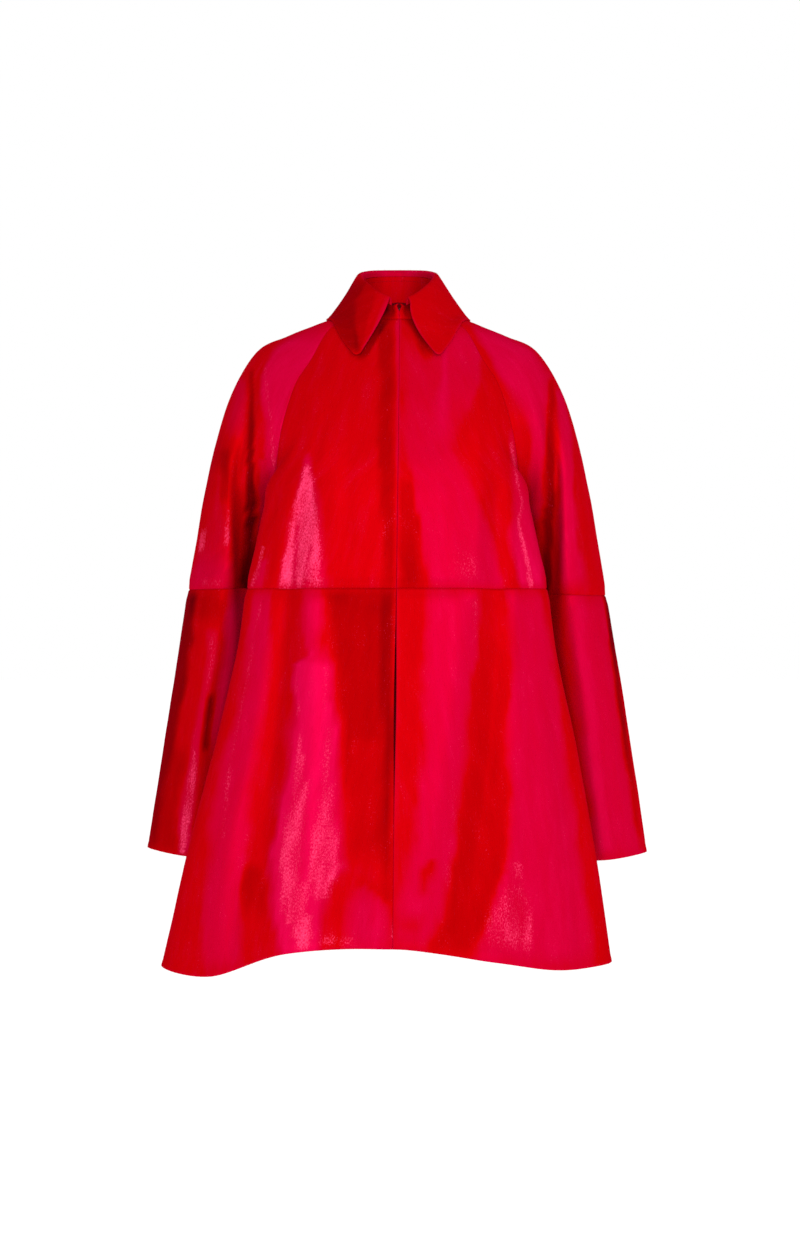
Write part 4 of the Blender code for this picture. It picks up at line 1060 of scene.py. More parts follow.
def from_raglan(grid, surface, levels):
    """1 away from the raglan seam and 0 on it."""
    fade = np.min([eased(gap / RAGLAN_CALM) for gap in raglan_gaps(grid, surface)], axis=0)
    return np.where((levels <= UNDERARM + RAGLAN_FADE)[:, None], fade, 1.0)


# ------------------------------------------------------------- pieces and their edges

def run_of(edge, underarm=None):
    """The direction of an edge at each of its points. At the row underarm it's that of the stretch above."""
    way = np.gradient(edge, axis=0)
    if underarm is not None:
        way[underarm] = edge[underarm] - edge[underarm - 1]
    return way


def set_back(edge, beside, ways, gap, underarm=None):
    """How far an edge's points move back from their seam, or past it where the gap is below 0, square to the
    seam and along the cloth."""
    square = directions(np.cross(ways, run_of(edge, underarm)))
    toward = np.sign(np.sum(square * (beside - edge), axis=1, keepdims=True))
    return square * toward * np.reshape(gap, (-1, 1))


def parted(grid, ways, top=0.0, bottom=0.0, left=0.0, right=0.0, underarm=None, through=()):
    """The grid with its four edges set back by these gaps. underarm is the row of the underarm, and through
    names the edge columns that pass it: their point there stands back from the side seam as well."""
    out = grid.copy()
    out[0] += set_back(grid[0], grid[1], ways[0], top)
    out[-1] += set_back(grid[-1], grid[-2], ways[-1], bottom)
    for column, inner, gap in ((0, 1, left), (-1, -2, right)):
        split = underarm if column in through else None
        out[:, column] += set_back(grid[:, column], grid[:, inner], ways[:, column], gap, split)
        if split is not None:
            away = np.sign(np.mean(grid[split, :, 1]) - grid[split, column, 1])
            out[split, column, 1] += away * SEAM_GAP / 2
    return out


def finer_at_edges(layers):
    """Grids of the same size, the first of them points, with extra rows and columns near their borders."""
    for _ in range(2):
        for flip in (False, True):
            layers = [layer[:, ::-1] for layer in layers] if flip else layers
            points = layers[0]
            space = np.linalg.norm(points[:, 1] - points[:, 0], axis=1)
            added = []
            for k, step in enumerate(EDGE_STEPS):
                share = np.minimum(step / space, EDGE_SHARE * (k + 1))[:, None, None]
                added.append([layer[:, :1] + (layer[:, 1:2] - layer[:, :1]) * share for layer in layers])
            layers = [np.concatenate([layer[:, :1], *new, layer[:, 1:]], axis=1)
                      for layer, *new in zip(layers, *added)]
            layers = [layer[:, ::-1] for layer in layers] if flip else layers
        layers = [layer.transpose(1, 0, 2) for layer in layers]
    return layers


def edge_gaps(grid):
    """How far each point is from each edge, along the cloth."""
    down, over = run_lengths(grid)
    return {"top": down, "bottom": down[-1:] - down, "left": over, "right": over[:, -1:] - over}


def finished_edges(grid, kinds):
    """How far the outer and the inner skin stand off the plain wall beside edges of these kinds, and how
    much painted highlight each point takes near a turned edge, from 0 to 1."""
    gaps = edge_gaps(grid)
    dip = np.zeros(grid.shape[:2])
    rise, close, step, edge_highlight = [dip.copy() for _ in range(4)]
    for edge, kind in kinds.items():
        gap = gaps[edge]
        if kind == "seam":
            dip = np.maximum(dip, SEAM_DIP * (1 - np.minimum(gap / SEAM_DIP_REACH, 1)) ** 2)
        if kind == "turned":
            into = np.clip(1 - gap / TURNED_ROUND, 0, 1)
            rounding = TURNED_ROUND * (1 - np.sqrt(1 - into**2))
            dip = np.maximum(dip, rounding)
            close = np.maximum(close, rounding)
            rise = np.maximum(rise, TURNED_RISE * eased((TURNING - gap) / TURNING_FADE))
            step = np.maximum(step, TURNED_STEP * eased((TURNING - gap) / STEP_FADE))
            edge_highlight = np.maximum(edge_highlight, swell(gap / EDGE_HIGHLIGHT_REACH))
    return rise - dip, close - step, edge_highlight


def placed(name, data):
    """An object of the scene."""
    made = bpy.data.objects.new(name, data)
    bpy.context.scene.collection.objects.link(made)
    return made


def new_piece(name, data, materials):
    """A mesh object with these materials."""
    for material in materials:
        data.materials.append(material)
    return placed(name, data)


def quads(first, rows, columns, reverse):
    """The faces of a grid of points whose first point has this index."""
    at = first + np.arange(rows * columns).reshape(rows, columns)
    faces = np.stack([at[:-1, :-1], at[:-1, 1:], at[1:, 1:], at[1:, :-1]], axis=-1).reshape(-1, 4)
    return faces[:, ::-1] if reverse else faces


def quad_mesh(name, points, faces):
    """A smooth mesh of points in millimetres and four-sided faces."""
    data = bpy.data.meshes.new(name)
    data.from_pydata((points.reshape(-1, 3) * MM).tolist(), [], faces.tolist())
    data.polygons.foreach_set("use_smooth", [True] * len(data.polygons))
    return data


def attribute(data, title, values, kind="FLOAT"):
    """An attribute of a mesh's points."""
    layer = data.attributes.new(title, kind, "POINT")
    slot = "vector" if kind == "FLOAT_VECTOR" else "value"
    layer.data.foreach_set(slot, values.astype(np.float32).ravel())


def shaded(tone):
    """The painted shade and sheen, from -2 for the darkest painted shade to 1 for the pinkest painted sheen,
    as a share.
    """
    return np.clip((tone + 2) / 3, 0, 1)


def marked(data, tone):
    """Writes on a mesh's points its painted sheen and shade and its painted glints, as shares."""
    attribute(data, "sheen_and_shade", shaded(tone[..., 0]))
    attribute(data, "painted_glints", np.clip(tone[..., 1], 0, 1))


def skin_with_painted_tone(points, faces, tone):
    """The outer skin alone, for the hairs to grow on, with the way they lie, down its columns, and its
    painted tone.
    """
    data = quad_mesh("skin", points, faces)
    attribute(data, "lay", directions(np.gradient(points, axis=0)), "FLOAT_VECTOR")
    marked(data, tone)
    return new_piece("skin", data, ())


def shell(name, grid, ways, tone, turned, kinds, outside, inside, shift=0.0):
    """A closed thin shell of hide and its outer skin. tone holds the painted shade and sheen, from -2 to 1,
    and the painted glints, from 0 to 1. kinds says how its edges are finished, and shift moves the pattern
    of its hide, in metres."""
    down, over = run_lengths(grid)
    middle = over[:, over.shape[1] // 2][:, None]
    place = np.concatenate([(over - middle)[..., None], down[..., None], tone], axis=2)
    grid, ways, place = finer_at_edges([grid, ways, place])
    outer_off, inner_off, edge_highlight = finished_edges(grid, kinds)
    # painted highlight along the turned edges
    place[..., 2] += EDGE_HIGHLIGHT * edge_highlight
    unit = directions(ways)
    outer = grid + unit * outer_off[..., None]
    inner = grid - ways * WALL + unit * inner_off[..., None]
    rows, columns = grid.shape[:2]
    count = rows * columns
    front = quads(0, rows, columns, not turned)
    back = quads(count, rows, columns, turned)
    rim = np.array([i * columns + j for i, j in border(rows, columns)])
    nxt = np.roll(rim, -1)
    sides = np.stack([nxt, rim, rim + count, nxt + count], axis=-1)
    sides = sides if turned else sides[:, ::-1]
    data = quad_mesh(name, np.concatenate([outer, inner]), np.concatenate([front, sides, back]))
    part = np.zeros(len(data.polygons), int)
    part[len(front) + len(sides):] = 1
    data.polygons.foreach_set("material_index", part)
    corners = np.zeros(len(data.loops), int)
    data.loops.foreach_get("vertex_index", corners)
    flat = np.tile(place.reshape(-1, 4), (2, 1))
    pattern = data.uv_layers.new(name="cloth")
    pattern.data.foreach_set("uv", (flat[corners][:, :2] * MM + shift).ravel())
    marked(data, flat[:, 2:])
    data.update()
    return new_piece(name, data, (outside, inside)), skin_with_painted_tone(outer, front, place[..., 2:])


# ------------------------------------------------------------- collar

def collar_lines(angle, side):
    """The fold and the outer edge of the collar at an angle round the neck, and the way out from it."""
    angles, folds, edges = zip(*COLLAR)
    nearby = np.clip([angle - 1, angle, angle + 1], 0, 180)
    places = np.interp(nearby, angles, range(len(angles)))
    before, fold, after = lean(smooth_line(folds, places), side)
    edge = lean(smooth_line(edges, places[1:2]), side)[0]
    out = np.cross(after - before, (0, 0, 1)) * (1 if side == "right" else -1)
    return fold, edge, out / np.linalg.norm(out)


def collar_section(base, angle, side):
    """The stand and the fall at one place round the neck, as rows of points: the stand from the neck seam
    up, and the fall from the stand's top over the roll and down to its outer edge."""
    fold, edge, out = collar_lines(angle, side)
    up = np.array([0, 0, 1.0])
    centre = fold - up * ROLL_RADIUS
    inside = centre - out * ROLL_RADIUS - up * FALL_SEAM_DROP
    bare = np.clip(1 - angle / FALL_START_ANGLE, 0, 1)
    stand_top = inside + out * WALL + up * bare * (ROLL_RADIUS + FALL_SEAM_DROP)
    stand = [base + (stand_top - base) * k / STAND_ROWS for k in range(STAND_ROWS + 1)]
    rise = centre - out * ROLL_RADIUS - inside
    fall = [inside + rise * k / FALL_SEAM_ROWS for k in range(FALL_SEAM_ROWS)]
    for k in range(ROLL_ROWS + 1):
        turn = math.radians(180 - ROLL_TURN * k / ROLL_ROWS)
        fall.append(centre + ROLL_RADIUS * (out * math.cos(turn) + up * math.sin(turn)))
    start = fall[-1]
    length = np.linalg.norm(edge - start)
    leave = (start - fall[-2]) / np.linalg.norm(start - fall[-2]) * length
    for k in range(1, FALL_ROWS + 1):
        fall.append(hermite(start, edge, leave * FALL_LEAVE, (edge - start) * FALL_ARRIVE, k / FALL_ROWS))
    return stand, fall


def surface_tree(grids):
    """A search tree of the outer surfaces that the collar lies on. Its faces look outward."""
    corners, faces = [], []
    for grid, turned in grids:
        near = grid[: len(grid) // 3]
        rows, columns = near.shape[:2]
        faces += quads(len(corners), rows, columns, not turned).tolist()
        corners += [Vector(point) for point in near.reshape(-1, 3)]
    return BVHTree.FromPolygons(corners, faces)


def shortfall(spot, tree, need):
    """How much nearer than its need a point is to the surfaces of tree, and the way out from them."""
    point = Vector(spot)
    nearest, normal, _, _ = tree.find_nearest(point)
    return need - (point - nearest).dot(normal), np.array(normal)


def laid_over(points, tree, need, first_row):
    """Rows of points from first_row on moved out until each stands its need off the surfaces of tree."""
    out = points.copy()
    for i in range(first_row, len(points)):
        for j, spot in enumerate(points[i]):
            short, way = shortfall(spot, tree, need[j])
            if short > 0:
                out[i, j] += way * short
    return out


def settled(points, tree, need, first_row):
    """The fall turned down until its lower edge nearly stands at its need off the surfaces of tree."""
    moves = np.zeros((points.shape[1], 3))
    for j, spot in enumerate(points[-1]):
        short, way = shortfall(spot, tree, need[j])
        if short < 0:
            moves[j] = way * short * FALL_SETTLES
    moves[1:-1] = (moves[:-2] + moves[1:-1] + moves[2:]) / 3
    share = np.clip((np.arange(len(points)) - first_row) / (len(points) - 1 - first_row), 0, 1)
    return points + moves[None] * share[:, None, None] ** 2


def smoothed_middle(grid, kept_row=None):
    """The grid with its columns beside the centre back smoothed, all but the row that is kept."""
    out = grid.copy()
    middle = grid.shape[1] // 2
    span = slice(middle - CENTRE_SMOOTHED, middle + CENTRE_SMOOTHED + 1)
    weight = np.ones(len(grid))
    if kept_row is not None:
        weight = np.clip(np.abs(np.arange(len(grid)) - kept_row) / CENTRE_CALM, 0, 1)
    for _ in range(CENTRE_TIMES):
        around = (out[:, :-2] + out[:, 2:]) / 2
        nearby = around[:, span.start - 1:span.stop - 1]
        out[:, span] += (nearby - out[:, span]) * weight[:, None, None] / 2
    return out


def relaxed(points, first_row, times):
    """The grid with each inner point from first_row on drawn to the middle of its neighbours."""
    out = points.copy()
    for _ in range(times):
        around = (out[first_row - 1:-2, 1:-1] + out[first_row + 1:, 1:-1]
                  + out[first_row:-1, :-2] + out[first_row:-1, 2:]) / 4
        out[first_row:-1, 1:-1] = (out[first_row:-1, 1:-1] + around) / 2
    return out


def from_ends(count):
    """How many points each one of a row is from the nearer end of it."""
    return np.minimum(np.arange(count), np.arange(count)[::-1])


def ends_met(stand):
    """The stand with its ends drawn together at the hook, over a small gap, and puckered beside it."""
    rows, columns = stand.shape[:2]
    t = np.linspace(0, 1, rows)
    half_gap = NECK_HOLE / 2 * np.interp(t, NECK_HOLE_ROWS, NECK_HOLE_SHARES)
    middle = (stand[:, 0, 0] + stand[:, -1, 0]) / 2
    out = stand.copy()
    for end, sign in ((0, -1), (-1, 1)):
        shift = middle + sign * half_gap - stand[:, end, 0]
        nearness = swell(np.abs(np.arange(columns) - (0 if end == 0 else columns - 1)) / STAND_END_REACH)
        out[..., 0] += shift[:, None] * nearness
    depth = swell((t - PUCKER_ROW) / PUCKER_REACH)[:, None]
    for place, width, height in PUCKERS:
        out[..., 1] -= height * swell((from_ends(columns) - place) / width) * depth
    return out


def softened_fall(fall, first):
    """The fall with its front edges bowed towards the middle, its tips rounded off, and its left half
    shorter over the shoulder. first is its first row that changes."""
    rows, columns = fall.shape[:2]
    out = fall.copy()
    t = np.clip((np.arange(rows) - first) / (rows - 1 - first), 0, 1)[:, None]
    for side, sign in ((0, 1), (1, -1)):
        ends = np.arange(columns) if side == 0 else np.arange(columns)[::-1]
        out[..., 0] += sign * FALL_BOW[side] * 4 * t * (1 - t) * swell(ends / FALL_BOW_REACH)
    over = swell((np.linspace(0, 1, columns) - SHOULDER_AT) / SHOULDER_REACH) * t
    keep = 1 - TIP_ROUND * np.clip(1 - from_ends(columns) / TIP_REACH, 0, 1) ** 2
    out[first:] = out[first] + (out[first:] - out[first]) * keep[:, None]
    out[..., 0] += FALL_SHORTER * over
    return out


def joined_across(left, right):
    """One grid from side to side, out of two halves that end at the middle."""
    return np.concatenate([left, right[:, -2::-1]], axis=1)


def neck_angles():
    """The angle round the neck of each point that the panels have on one half of the neck seam."""
    row = [neck_point(angle) for angle in NECK_ANGLES.values()]
    first, last = len(FRONT_LINES), len(FRONT_LINES) + len(TUBE_LINES)
    front = across(mirrored(row[1]), row[:first + 1], row[first + 1], 0, 0, FRONT_STEPS)
    arm = across(row[first - 1], row[first:last + 1], row[last + 1], 0, 0, SLEEVE_STEPS)
    back = across(row[last - 1], row[last:], mirrored(row[-2]), 0, 0, BACK_STEPS)
    x, y, _ = np.array(front + arm[1:] + back[1:]).T
    return np.degrees(np.arctan2(x / NECK_HALF_WIDTH, (NECK_CENTRE_Y - y) / NECK_HALF_DEPTH))


def collar(grids):
    """The stand and the fall from side to side, on the neck seam that the panels make."""
    stands, falls = {}, {}
    for side in SIDES:
        neck = [grids["front", side][0]]
        neck += [grids[name, side][0][1:] for name in ("sleeve_front", "sleeve_back", "back")]
        places = zip(np.concatenate(neck), neck_angles())
        sections = [collar_section(base, angle, side) for base, angle in places]
        stands[side] = np.array([stand[::-1] for stand, _ in sections]).transpose(1, 0, 2)
        falls[side] = np.array([fall for _, fall in sections[FALL_START:]]).transpose(1, 0, 2)
    stand, fall = joined_across(*stands.values()), joined_across(*falls.values())
    return smoothed_middle(stand, len(stand) - 1), smoothed_middle(fall)


# ------------------------------------------------------------- hook and eye

def wire(name, points, material):
    """A bent round wire through points, in millimetres, as a closed tube."""
    knots = fine_path(points)
    path = bpy.data.curves.new(name, "CURVE")
    path.dimensions = "3D"
    path.bevel_depth = WIRE / 2 * MM
    path.bevel_resolution = 3
    path.use_fill_caps = True
    line = path.splines.new("POLY")
    line.points.add(len(knots) - 1)
    for slot, point in zip(line.points, knots):
        slot.co = (*(point * MM), 1.0)
    bent = bpy.data.objects.new(name, path)
    data = bpy.data.meshes.new_from_object(bent)
    bpy.data.objects.remove(bent)
    data.name = name
    return new_piece(name, data, (material,))


def hook_and_eye(material):
    """The fastening of the stand's ends: a loop on the right end, and on the left a hook through it."""
    at = np.array(HOOK_PLACE)
    half = EYE_WIDTH / 2
    eye = [(EYE_LENGTH, 0, half)]
    for k in range(EYE_STEPS + 1):
        turn = math.radians(90 + 180 * k / EYE_STEPS)
        eye.append((half * math.cos(turn), 0, half * math.sin(turn)))
    eye.append((EYE_LENGTH, 0, -half))
    loop = wire("neck_eye_wire", [at + point for point in eye], material)
    reach = HOOK_REACH
    hook = [(-HOOK_LENGTH, 0, 0), (-HOOK_LENGTH * HOOK_SHANK, 0, 0), (-half - WIRE, reach, 0), (0, reach, 0)]
    for k in range(1, HOOK_STEPS):
        turn = math.radians(90 - 180 * k / HOOK_STEPS)
        hook.append((reach * HOOK_BEND * math.cos(turn), reach * math.sin(turn), 0))
    hook += [(0, -reach, 0), (-HOOK_TIP, -reach, 0)]
    return loop, wire("neck_hook_wire", [at + point for point in hook], material)


# ------------------------------------------------------------- finishes

def material_of(name):
    """A new material, its tree of nodes and its shader."""
    made = bpy.data.materials.new(name)
    made.use_nodes = True
    return made, made.node_tree, made.node_tree.nodes["Principled BSDF"]


def node(tree, kind, **settings):
    """A new node with these settings."""
    made = tree.nodes.new(kind)
    for key, value in settings.items():
        setattr(made, key, value)
    return made


def fed(tree, made, inputs):
    """A node with each of these inputs linked from a socket or set to a value."""
    for key, value in inputs.items():
        if isinstance(value, bpy.types.NodeSocket):
            tree.links.new(value, made.inputs[key])
        else:
            made.inputs[key].default_value = value
    return made


def joined(tree, kind, inputs, **settings):
    """A new node with these settings and inputs."""
    return fed(tree, node(tree, kind, **settings), inputs)


def in_use(sockets, *names):
    """The places of a node's sockets that its settings leave in use, or of those with one of these names."""
    return [k for k, slot in enumerate(sockets) if slot.enabled and (not names or slot.name in names)]


def marked_with(tree, name):
    """What the points of a mesh were marked with under this name."""
    return node(tree, "ShaderNodeAttribute", attribute_name=name).outputs["Fac"]


def along_cloth(tree):
    """Places across and along the nap."""
    return node(tree, "ShaderNodeUVMap", uv_map="cloth").outputs["UV"]


def in_object(tree):
    """Places in the piece itself."""
    return node(tree, "ShaderNodeTexCoord").outputs["Object"]


def pattern(tree, source, name):
    """One of the patterns on these places."""
    scale, detail, roughness = PATTERNS[name]
    place = joined(tree, "ShaderNodeMapping", {"Vector": source, "Scale": scale}).outputs["Vector"]
    return joined(tree, "ShaderNodeTexNoise", {
        "Vector": place, "Scale": 1.0, "Detail": detail, "Roughness": roughness}).outputs["Fac"]


def maths(tree, operation, *numbers):
    """What this operation makes of two or three numbers."""
    return joined(tree, "ShaderNodeMath", dict(enumerate(numbers)), operation=operation).outputs[0]


def plus(tree, start, grain, amount):
    """start + (grain - 0.5) * amount."""
    return maths(tree, "ADD", start, maths(tree, "MULTIPLY_ADD", grain, amount, -amount / 2))


def bumped(tree, height, distance, strength, before=None):
    """The normal with this bump, over an earlier one if there is one."""
    earlier = {} if before is None else {"Normal": before}
    return joined(tree, "ShaderNodeBump", {
        "Distance": distance, "Strength": strength, "Height": height, **earlier}).outputs["Normal"]


def ramp(tree, value, stops):
    """The colour at a value from 0 to 1 between these stops."""
    made = joined(tree, "ShaderNodeValToRGB", {"Fac": value})
    elements = made.color_ramp.elements
    while len(elements) < len(stops):
        elements.new(0.5)
    for element, (place, colour) in zip(elements, stops):
        element.position = place
        element.color = (*colour, 1.0)
    return made.outputs["Color"]


def ranged(tree, value, low, high, start=0.0, end=1.0):
    """From low to high as the value goes from start to end."""
    return joined(tree, "ShaderNodeMapRange", {
        "Value": value, "From Min": start, "From Max": end, "To Min": low, "To Max": high}).outputs["Result"]


def painted_light_colour(tree, sheen_and_shade, lit):
    """Darker red where shade is painted, pink where sheen is painted, and paler where glints are painted, 0
    to 1.
    """
    mixed = node(tree, "ShaderNodeMix", data_type="RGBA")
    share, first, second = in_use(mixed.inputs)
    fed(tree, mixed, {share: lit, first: ramp(tree, sheen_and_shade, SHADE_TO_SHEEN_COLOURS), second: (*GLINT_COLOUR, 1.0)})
    return mixed.outputs[in_use(mixed.outputs)[0]]


def calf_hair():
    """Glossy red calf hair that lies down the coat. It is darker where shade is painted and pinker where
    sheen is painted, with random grain, and painted glints show in pale specks."""
    made, tree, shader = material_of("calf_hair")
    cloth = along_cloth(tree)
    sheen_and_shade, painted_glints = marked_with(tree, "sheen_and_shade"), marked_with(tree, "painted_glints")
    grain = {name: pattern(tree, cloth, name) for name in ("strands", "hairs", "clumps", "grains")}
    for name, amount in NAP_GRAIN:
        sheen_and_shade = plus(tree, sheen_and_shade, grain[name], amount)
    for name, amount in GLINT_GRAIN:
        painted_glints = plus(tree, painted_glints, grain[name], amount)
    normal = None
    for name, distance, strength in HAIR_BUMPS:
        normal = bumped(tree, grain[name], distance, strength, normal)
    fed(tree, shader, {
        "Base Color": painted_light_colour(tree, sheen_and_shade, ranged(tree, painted_glints, 0.0, 1.0, *GLINT_LIT)),
        "Roughness": ranged(tree, sheen_and_shade, 0.5, 0.36), "Normal": normal, "Anisotropic": 0.45, **HAIR_GLOSS})
    return made


def loose_hair():
    """The single hairs that stand a little off the coat, each at random a little redder or paler than the
    painted sheen and shade there.
    """
    made, tree, shader = material_of("loose_hair")
    sheen_and_shade, glint_base, shade = [marked_with(tree, name) for name in ("sheen_and_shade", "painted_glints", "shade")]
    lit = ranged(tree, plus(tree, glint_base, shade, 0.6), 0.0, 1.0, 0.1, 1.1)
    fed(tree, shader, {
        "Base Color": painted_light_colour(tree, plus(tree, sheen_and_shade, shade, 0.08), lit),
        "Roughness": ranged(tree, shade, 0.3, 0.45), **HAIR_GLOSS})
    return made


def sewing_thread():
    """Red sewing thread with its twist."""
    made, tree, shader = material_of("sewing_thread")
    plies = pattern(tree, in_object(tree), "plies")
    fed(tree, shader, {
        "Base Color": ramp(tree, plies, THREAD_COLOURS), "Roughness": ranged(tree, plies, 0.45, 0.6),
        "Normal": bumped(tree, plies, 0.0001, 0.5), "Specular IOR Level": 0.1})
    return made


def flesh_side():
    """The inside of the hide behind its plain red lining."""
    made, tree, shader = material_of("red_lining")
    cloth = along_cloth(tree)
    threads, filling, waves = [pattern(tree, cloth, name) for name in ("threads", "filling", "waves")]
    weave = plus(tree, threads, filling, 0.8)
    shade = plus(tree, waves, weave, 0.3)
    fed(tree, shader, {
        "Base Color": ramp(tree, shade, LINING_COLOURS), "Roughness": ranged(tree, shade, 0.42, 0.58),
        "Normal": bumped(tree, weave, 0.0002, 0.4), "Specular IOR Level": 0.05})
    return made


def dark_metal():
    """Blackened wire, rubbed brighter in places."""
    made, tree, shader = material_of("blackened_wire")
    rubbed = pattern(tree, in_object(tree), "rubbed")
    fed(tree, shader, {
        "Base Color": ramp(tree, rubbed, METAL_COLOURS), "Roughness": ranged(tree, rubbed, 0.28, 0.5),
        "Normal": bumped(tree, rubbed, 0.00005, 0.3), "Metallic": 0.6})
    return made


# ------------------------------------------------------------- hairs and stitches

def new_tree(name, inputs):
    """A Geometry Nodes tree with these named inputs, and its input node's sockets by name."""
    tree = bpy.data.node_groups.new(name, "GeometryNodeTree")
    tree.interface.new_socket(name="Geometry", in_out="INPUT", socket_type="NodeSocketGeometry")
    for title, kind in inputs:
        tree.interface.new_socket(name=title, in_out="INPUT", socket_type="NodeSocket" + kind)
    tree.interface.new_socket(name="Geometry", in_out="OUTPUT", socket_type="NodeSocketGeometry")
    return tree, node(tree, "NodeGroupInput").outputs


def end_tree(tree, instances, material):
    """Makes the instances real, gives them their material and ends the tree."""
    real = joined(tree, "GeometryNodeRealizeInstances", {"Geometry": instances})
    finish = joined(tree, "GeometryNodeSetMaterial", {"Geometry": real.outputs[0], "Material": material})
    joined(tree, "NodeGroupOutput", {"Geometry": finish.outputs[0]})


def made_by(tree, name, source, values):
    """A plain mesh piece of what a tree makes of a source object, which goes away."""
    modifier = source.modifiers.new(tree.name, "NODES")
    modifier.node_group = tree
    for item in tree.interface.items_tree:
        if item.in_out == "INPUT" and item.name in values:
            modifier[item.identifier] = values[item.name]
    seen = source.evaluated_get(bpy.context.evaluated_depsgraph_get())
    data = bpy.data.meshes.new_from_object(seen)
    data.name = name
    bpy.data.objects.remove(source)
    return new_piece(name, data, ())


def attribute_of(tree, title, kind="FLOAT"):
    """What a tree's mesh says under this name."""
    made = joined(tree, "GeometryNodeInputNamedAttribute", {"Name": title}, data_type=kind)
    return made.outputs["Attribute"]


def random_between(tree, low, high, seed):
    """A random number for each point."""
    made = joined(tree, "FunctionNodeRandomValue", {"Seed": seed}, data_type="FLOAT")
    fed(tree, made, dict(zip(in_use(made.inputs, "Min", "Max"), (low, high))))
    return made.outputs[in_use(made.outputs)[0]]


def lying_on(tree, out, along, turn):
    """The rotation that lies along the cloth with its back to it, turned by some angles of its own."""
    lying = joined(tree, "FunctionNodeAxesToRotation", {"Primary Axis": out, "Secondary Axis": along},
                   primary_axis="Z", secondary_axis="Y")
    angles = joined(tree, "ShaderNodeCombineXYZ", turn)
    return joined(tree, "FunctionNodeRotateRotation", {
        "Rotation": lying.outputs[0], "Rotate By": angles.outputs[0]}, rotation_space="LOCAL").outputs[0]


def short_hairs():
    """Scatters short hairs over a skin. Each is a slim three-sided spike that lies along the skin's nap with
    its tip a little off it, and there are more where glints are painted."""
    tree, given = new_tree("short_hairs", (
        ("Hairs to a square metre", "Float"), ("More hairs at painted glints", "Float"), ("Hair length", "Float"),
        ("Hair width", "Float"), ("Lift", "Float"), ("Swing", "Float"), ("Seed", "Int"),
        ("Hair", "Material")))
    density = maths(tree, "MULTIPLY_ADD", attribute_of(tree, "painted_glints"), given["More hairs at painted glints"],
                    given["Hairs to a square metre"])
    roots = joined(tree, "GeometryNodeDistributePointsOnFaces", {
        "Mesh": given["Geometry"], "Density": density, "Seed": given["Seed"]})
    lay = attribute_of(tree, "lay", "FLOAT_VECTOR")
    other_way = maths(tree, "MULTIPLY", given["Swing"], -1.0)
    swung = lying_on(tree, roots.outputs["Normal"], lay, {
        "X": random_between(tree, 0.0, given["Lift"], 1),
        "Z": random_between(tree, other_way, given["Swing"], 2)})
    spike = joined(tree, "GeometryNodeMeshCone", {
        "Vertices": 3, "Radius Top": 0.0, "Radius Bottom": maths(tree, "MULTIPLY", given["Hair width"], 0.5),
        "Depth": given["Hair length"]})
    laid = joined(tree, "GeometryNodeTransform", {
        "Geometry": spike.outputs["Mesh"], "Rotation": (-math.pi / 2, 0.0, 0.0)})
    size = joined(tree, "ShaderNodeCombineXYZ", {
        "X": 1.0, "Y": random_between(tree, *HAIR_LENGTHS, 3), "Z": HAIR_FLAT})
    hairs = joined(tree, "GeometryNodeInstanceOnPoints", {
        "Points": roots.outputs["Points"], "Instance": laid.outputs[0], "Rotation": swung,
        "Scale": size.outputs[0]})
    shaded_hairs = joined(tree, "GeometryNodeStoreNamedAttribute", {
        "Geometry": hairs.outputs[0], "Name": "shade", "Value": random_between(tree, 0.0, 1.0, 4)},
        data_type="FLOAT", domain="INSTANCE")
    end_tree(tree, shaded_hairs.outputs[0], given["Hair"])
    return tree


def stitch_row():
    """Sets plump stitches along a line, turned from it by an angle, flat to the cloth under it."""
    tree, given = new_tree("stitch_row", (
        ("Stitch length", "Float"), ("Stitch pitch", "Float"), ("Thread width", "Float"), ("Turn", "Float"),
        ("Thread", "Material")))
    line = joined(tree, "GeometryNodeMeshToCurve", {"Mesh": given["Geometry"]})
    even = joined(tree, "GeometryNodeResampleCurve", {
        "Curve": line.outputs[0], "Length": given["Stitch pitch"]}, mode="LENGTH")
    places = joined(tree, "GeometryNodeCurveToPoints", {"Curve": even.outputs[0]}, mode="EVALUATED")
    out = attribute_of(tree, "out", "FLOAT_VECTOR")
    turned = lying_on(tree, out, places.outputs["Tangent"], {"Z": given["Turn"]})
    ball = joined(tree, "GeometryNodeMeshUVSphere", {"Segments": 8, "Rings": 5, "Radius": 0.5})
    size = joined(tree, "ShaderNodeCombineXYZ", {
        "X": given["Thread width"], "Y": given["Stitch length"], "Z": given["Thread width"]})
    stitch = joined(tree, "GeometryNodeTransform", {
        "Geometry": ball.outputs["Mesh"], "Scale": size.outputs[0]})
    placed_stitches = joined(tree, "GeometryNodeInstanceOnPoints", {
        "Points": places.outputs["Points"], "Instance": stitch.outputs[0], "Rotation": turned})
    end_tree(tree, placed_stitches.outputs[0], given["Thread"])
    return tree


def stitches(tree, name, points, outs, length, pitch, turn, thread):
    """A row of stitches along points, in millimetres, each with the way out of the cloth there. turn is in
    degrees."""
    data = bpy.data.meshes.new("line")
    edges = [(k, k + 1) for k in range(len(points) - 1)]
    data.from_pydata((np.array(points) * MM).tolist(), edges, [])
    attribute(data, "out", np.array(outs, float), "FLOAT_VECTOR")
    return made_by(tree, name, new_piece("line", data, ()), {
        "Stitch length": length * MM, "Stitch pitch": pitch * MM, "Thread width": THREAD_WIDTH * MM,
        "Turn": math.radians(turn), "Thread": thread})


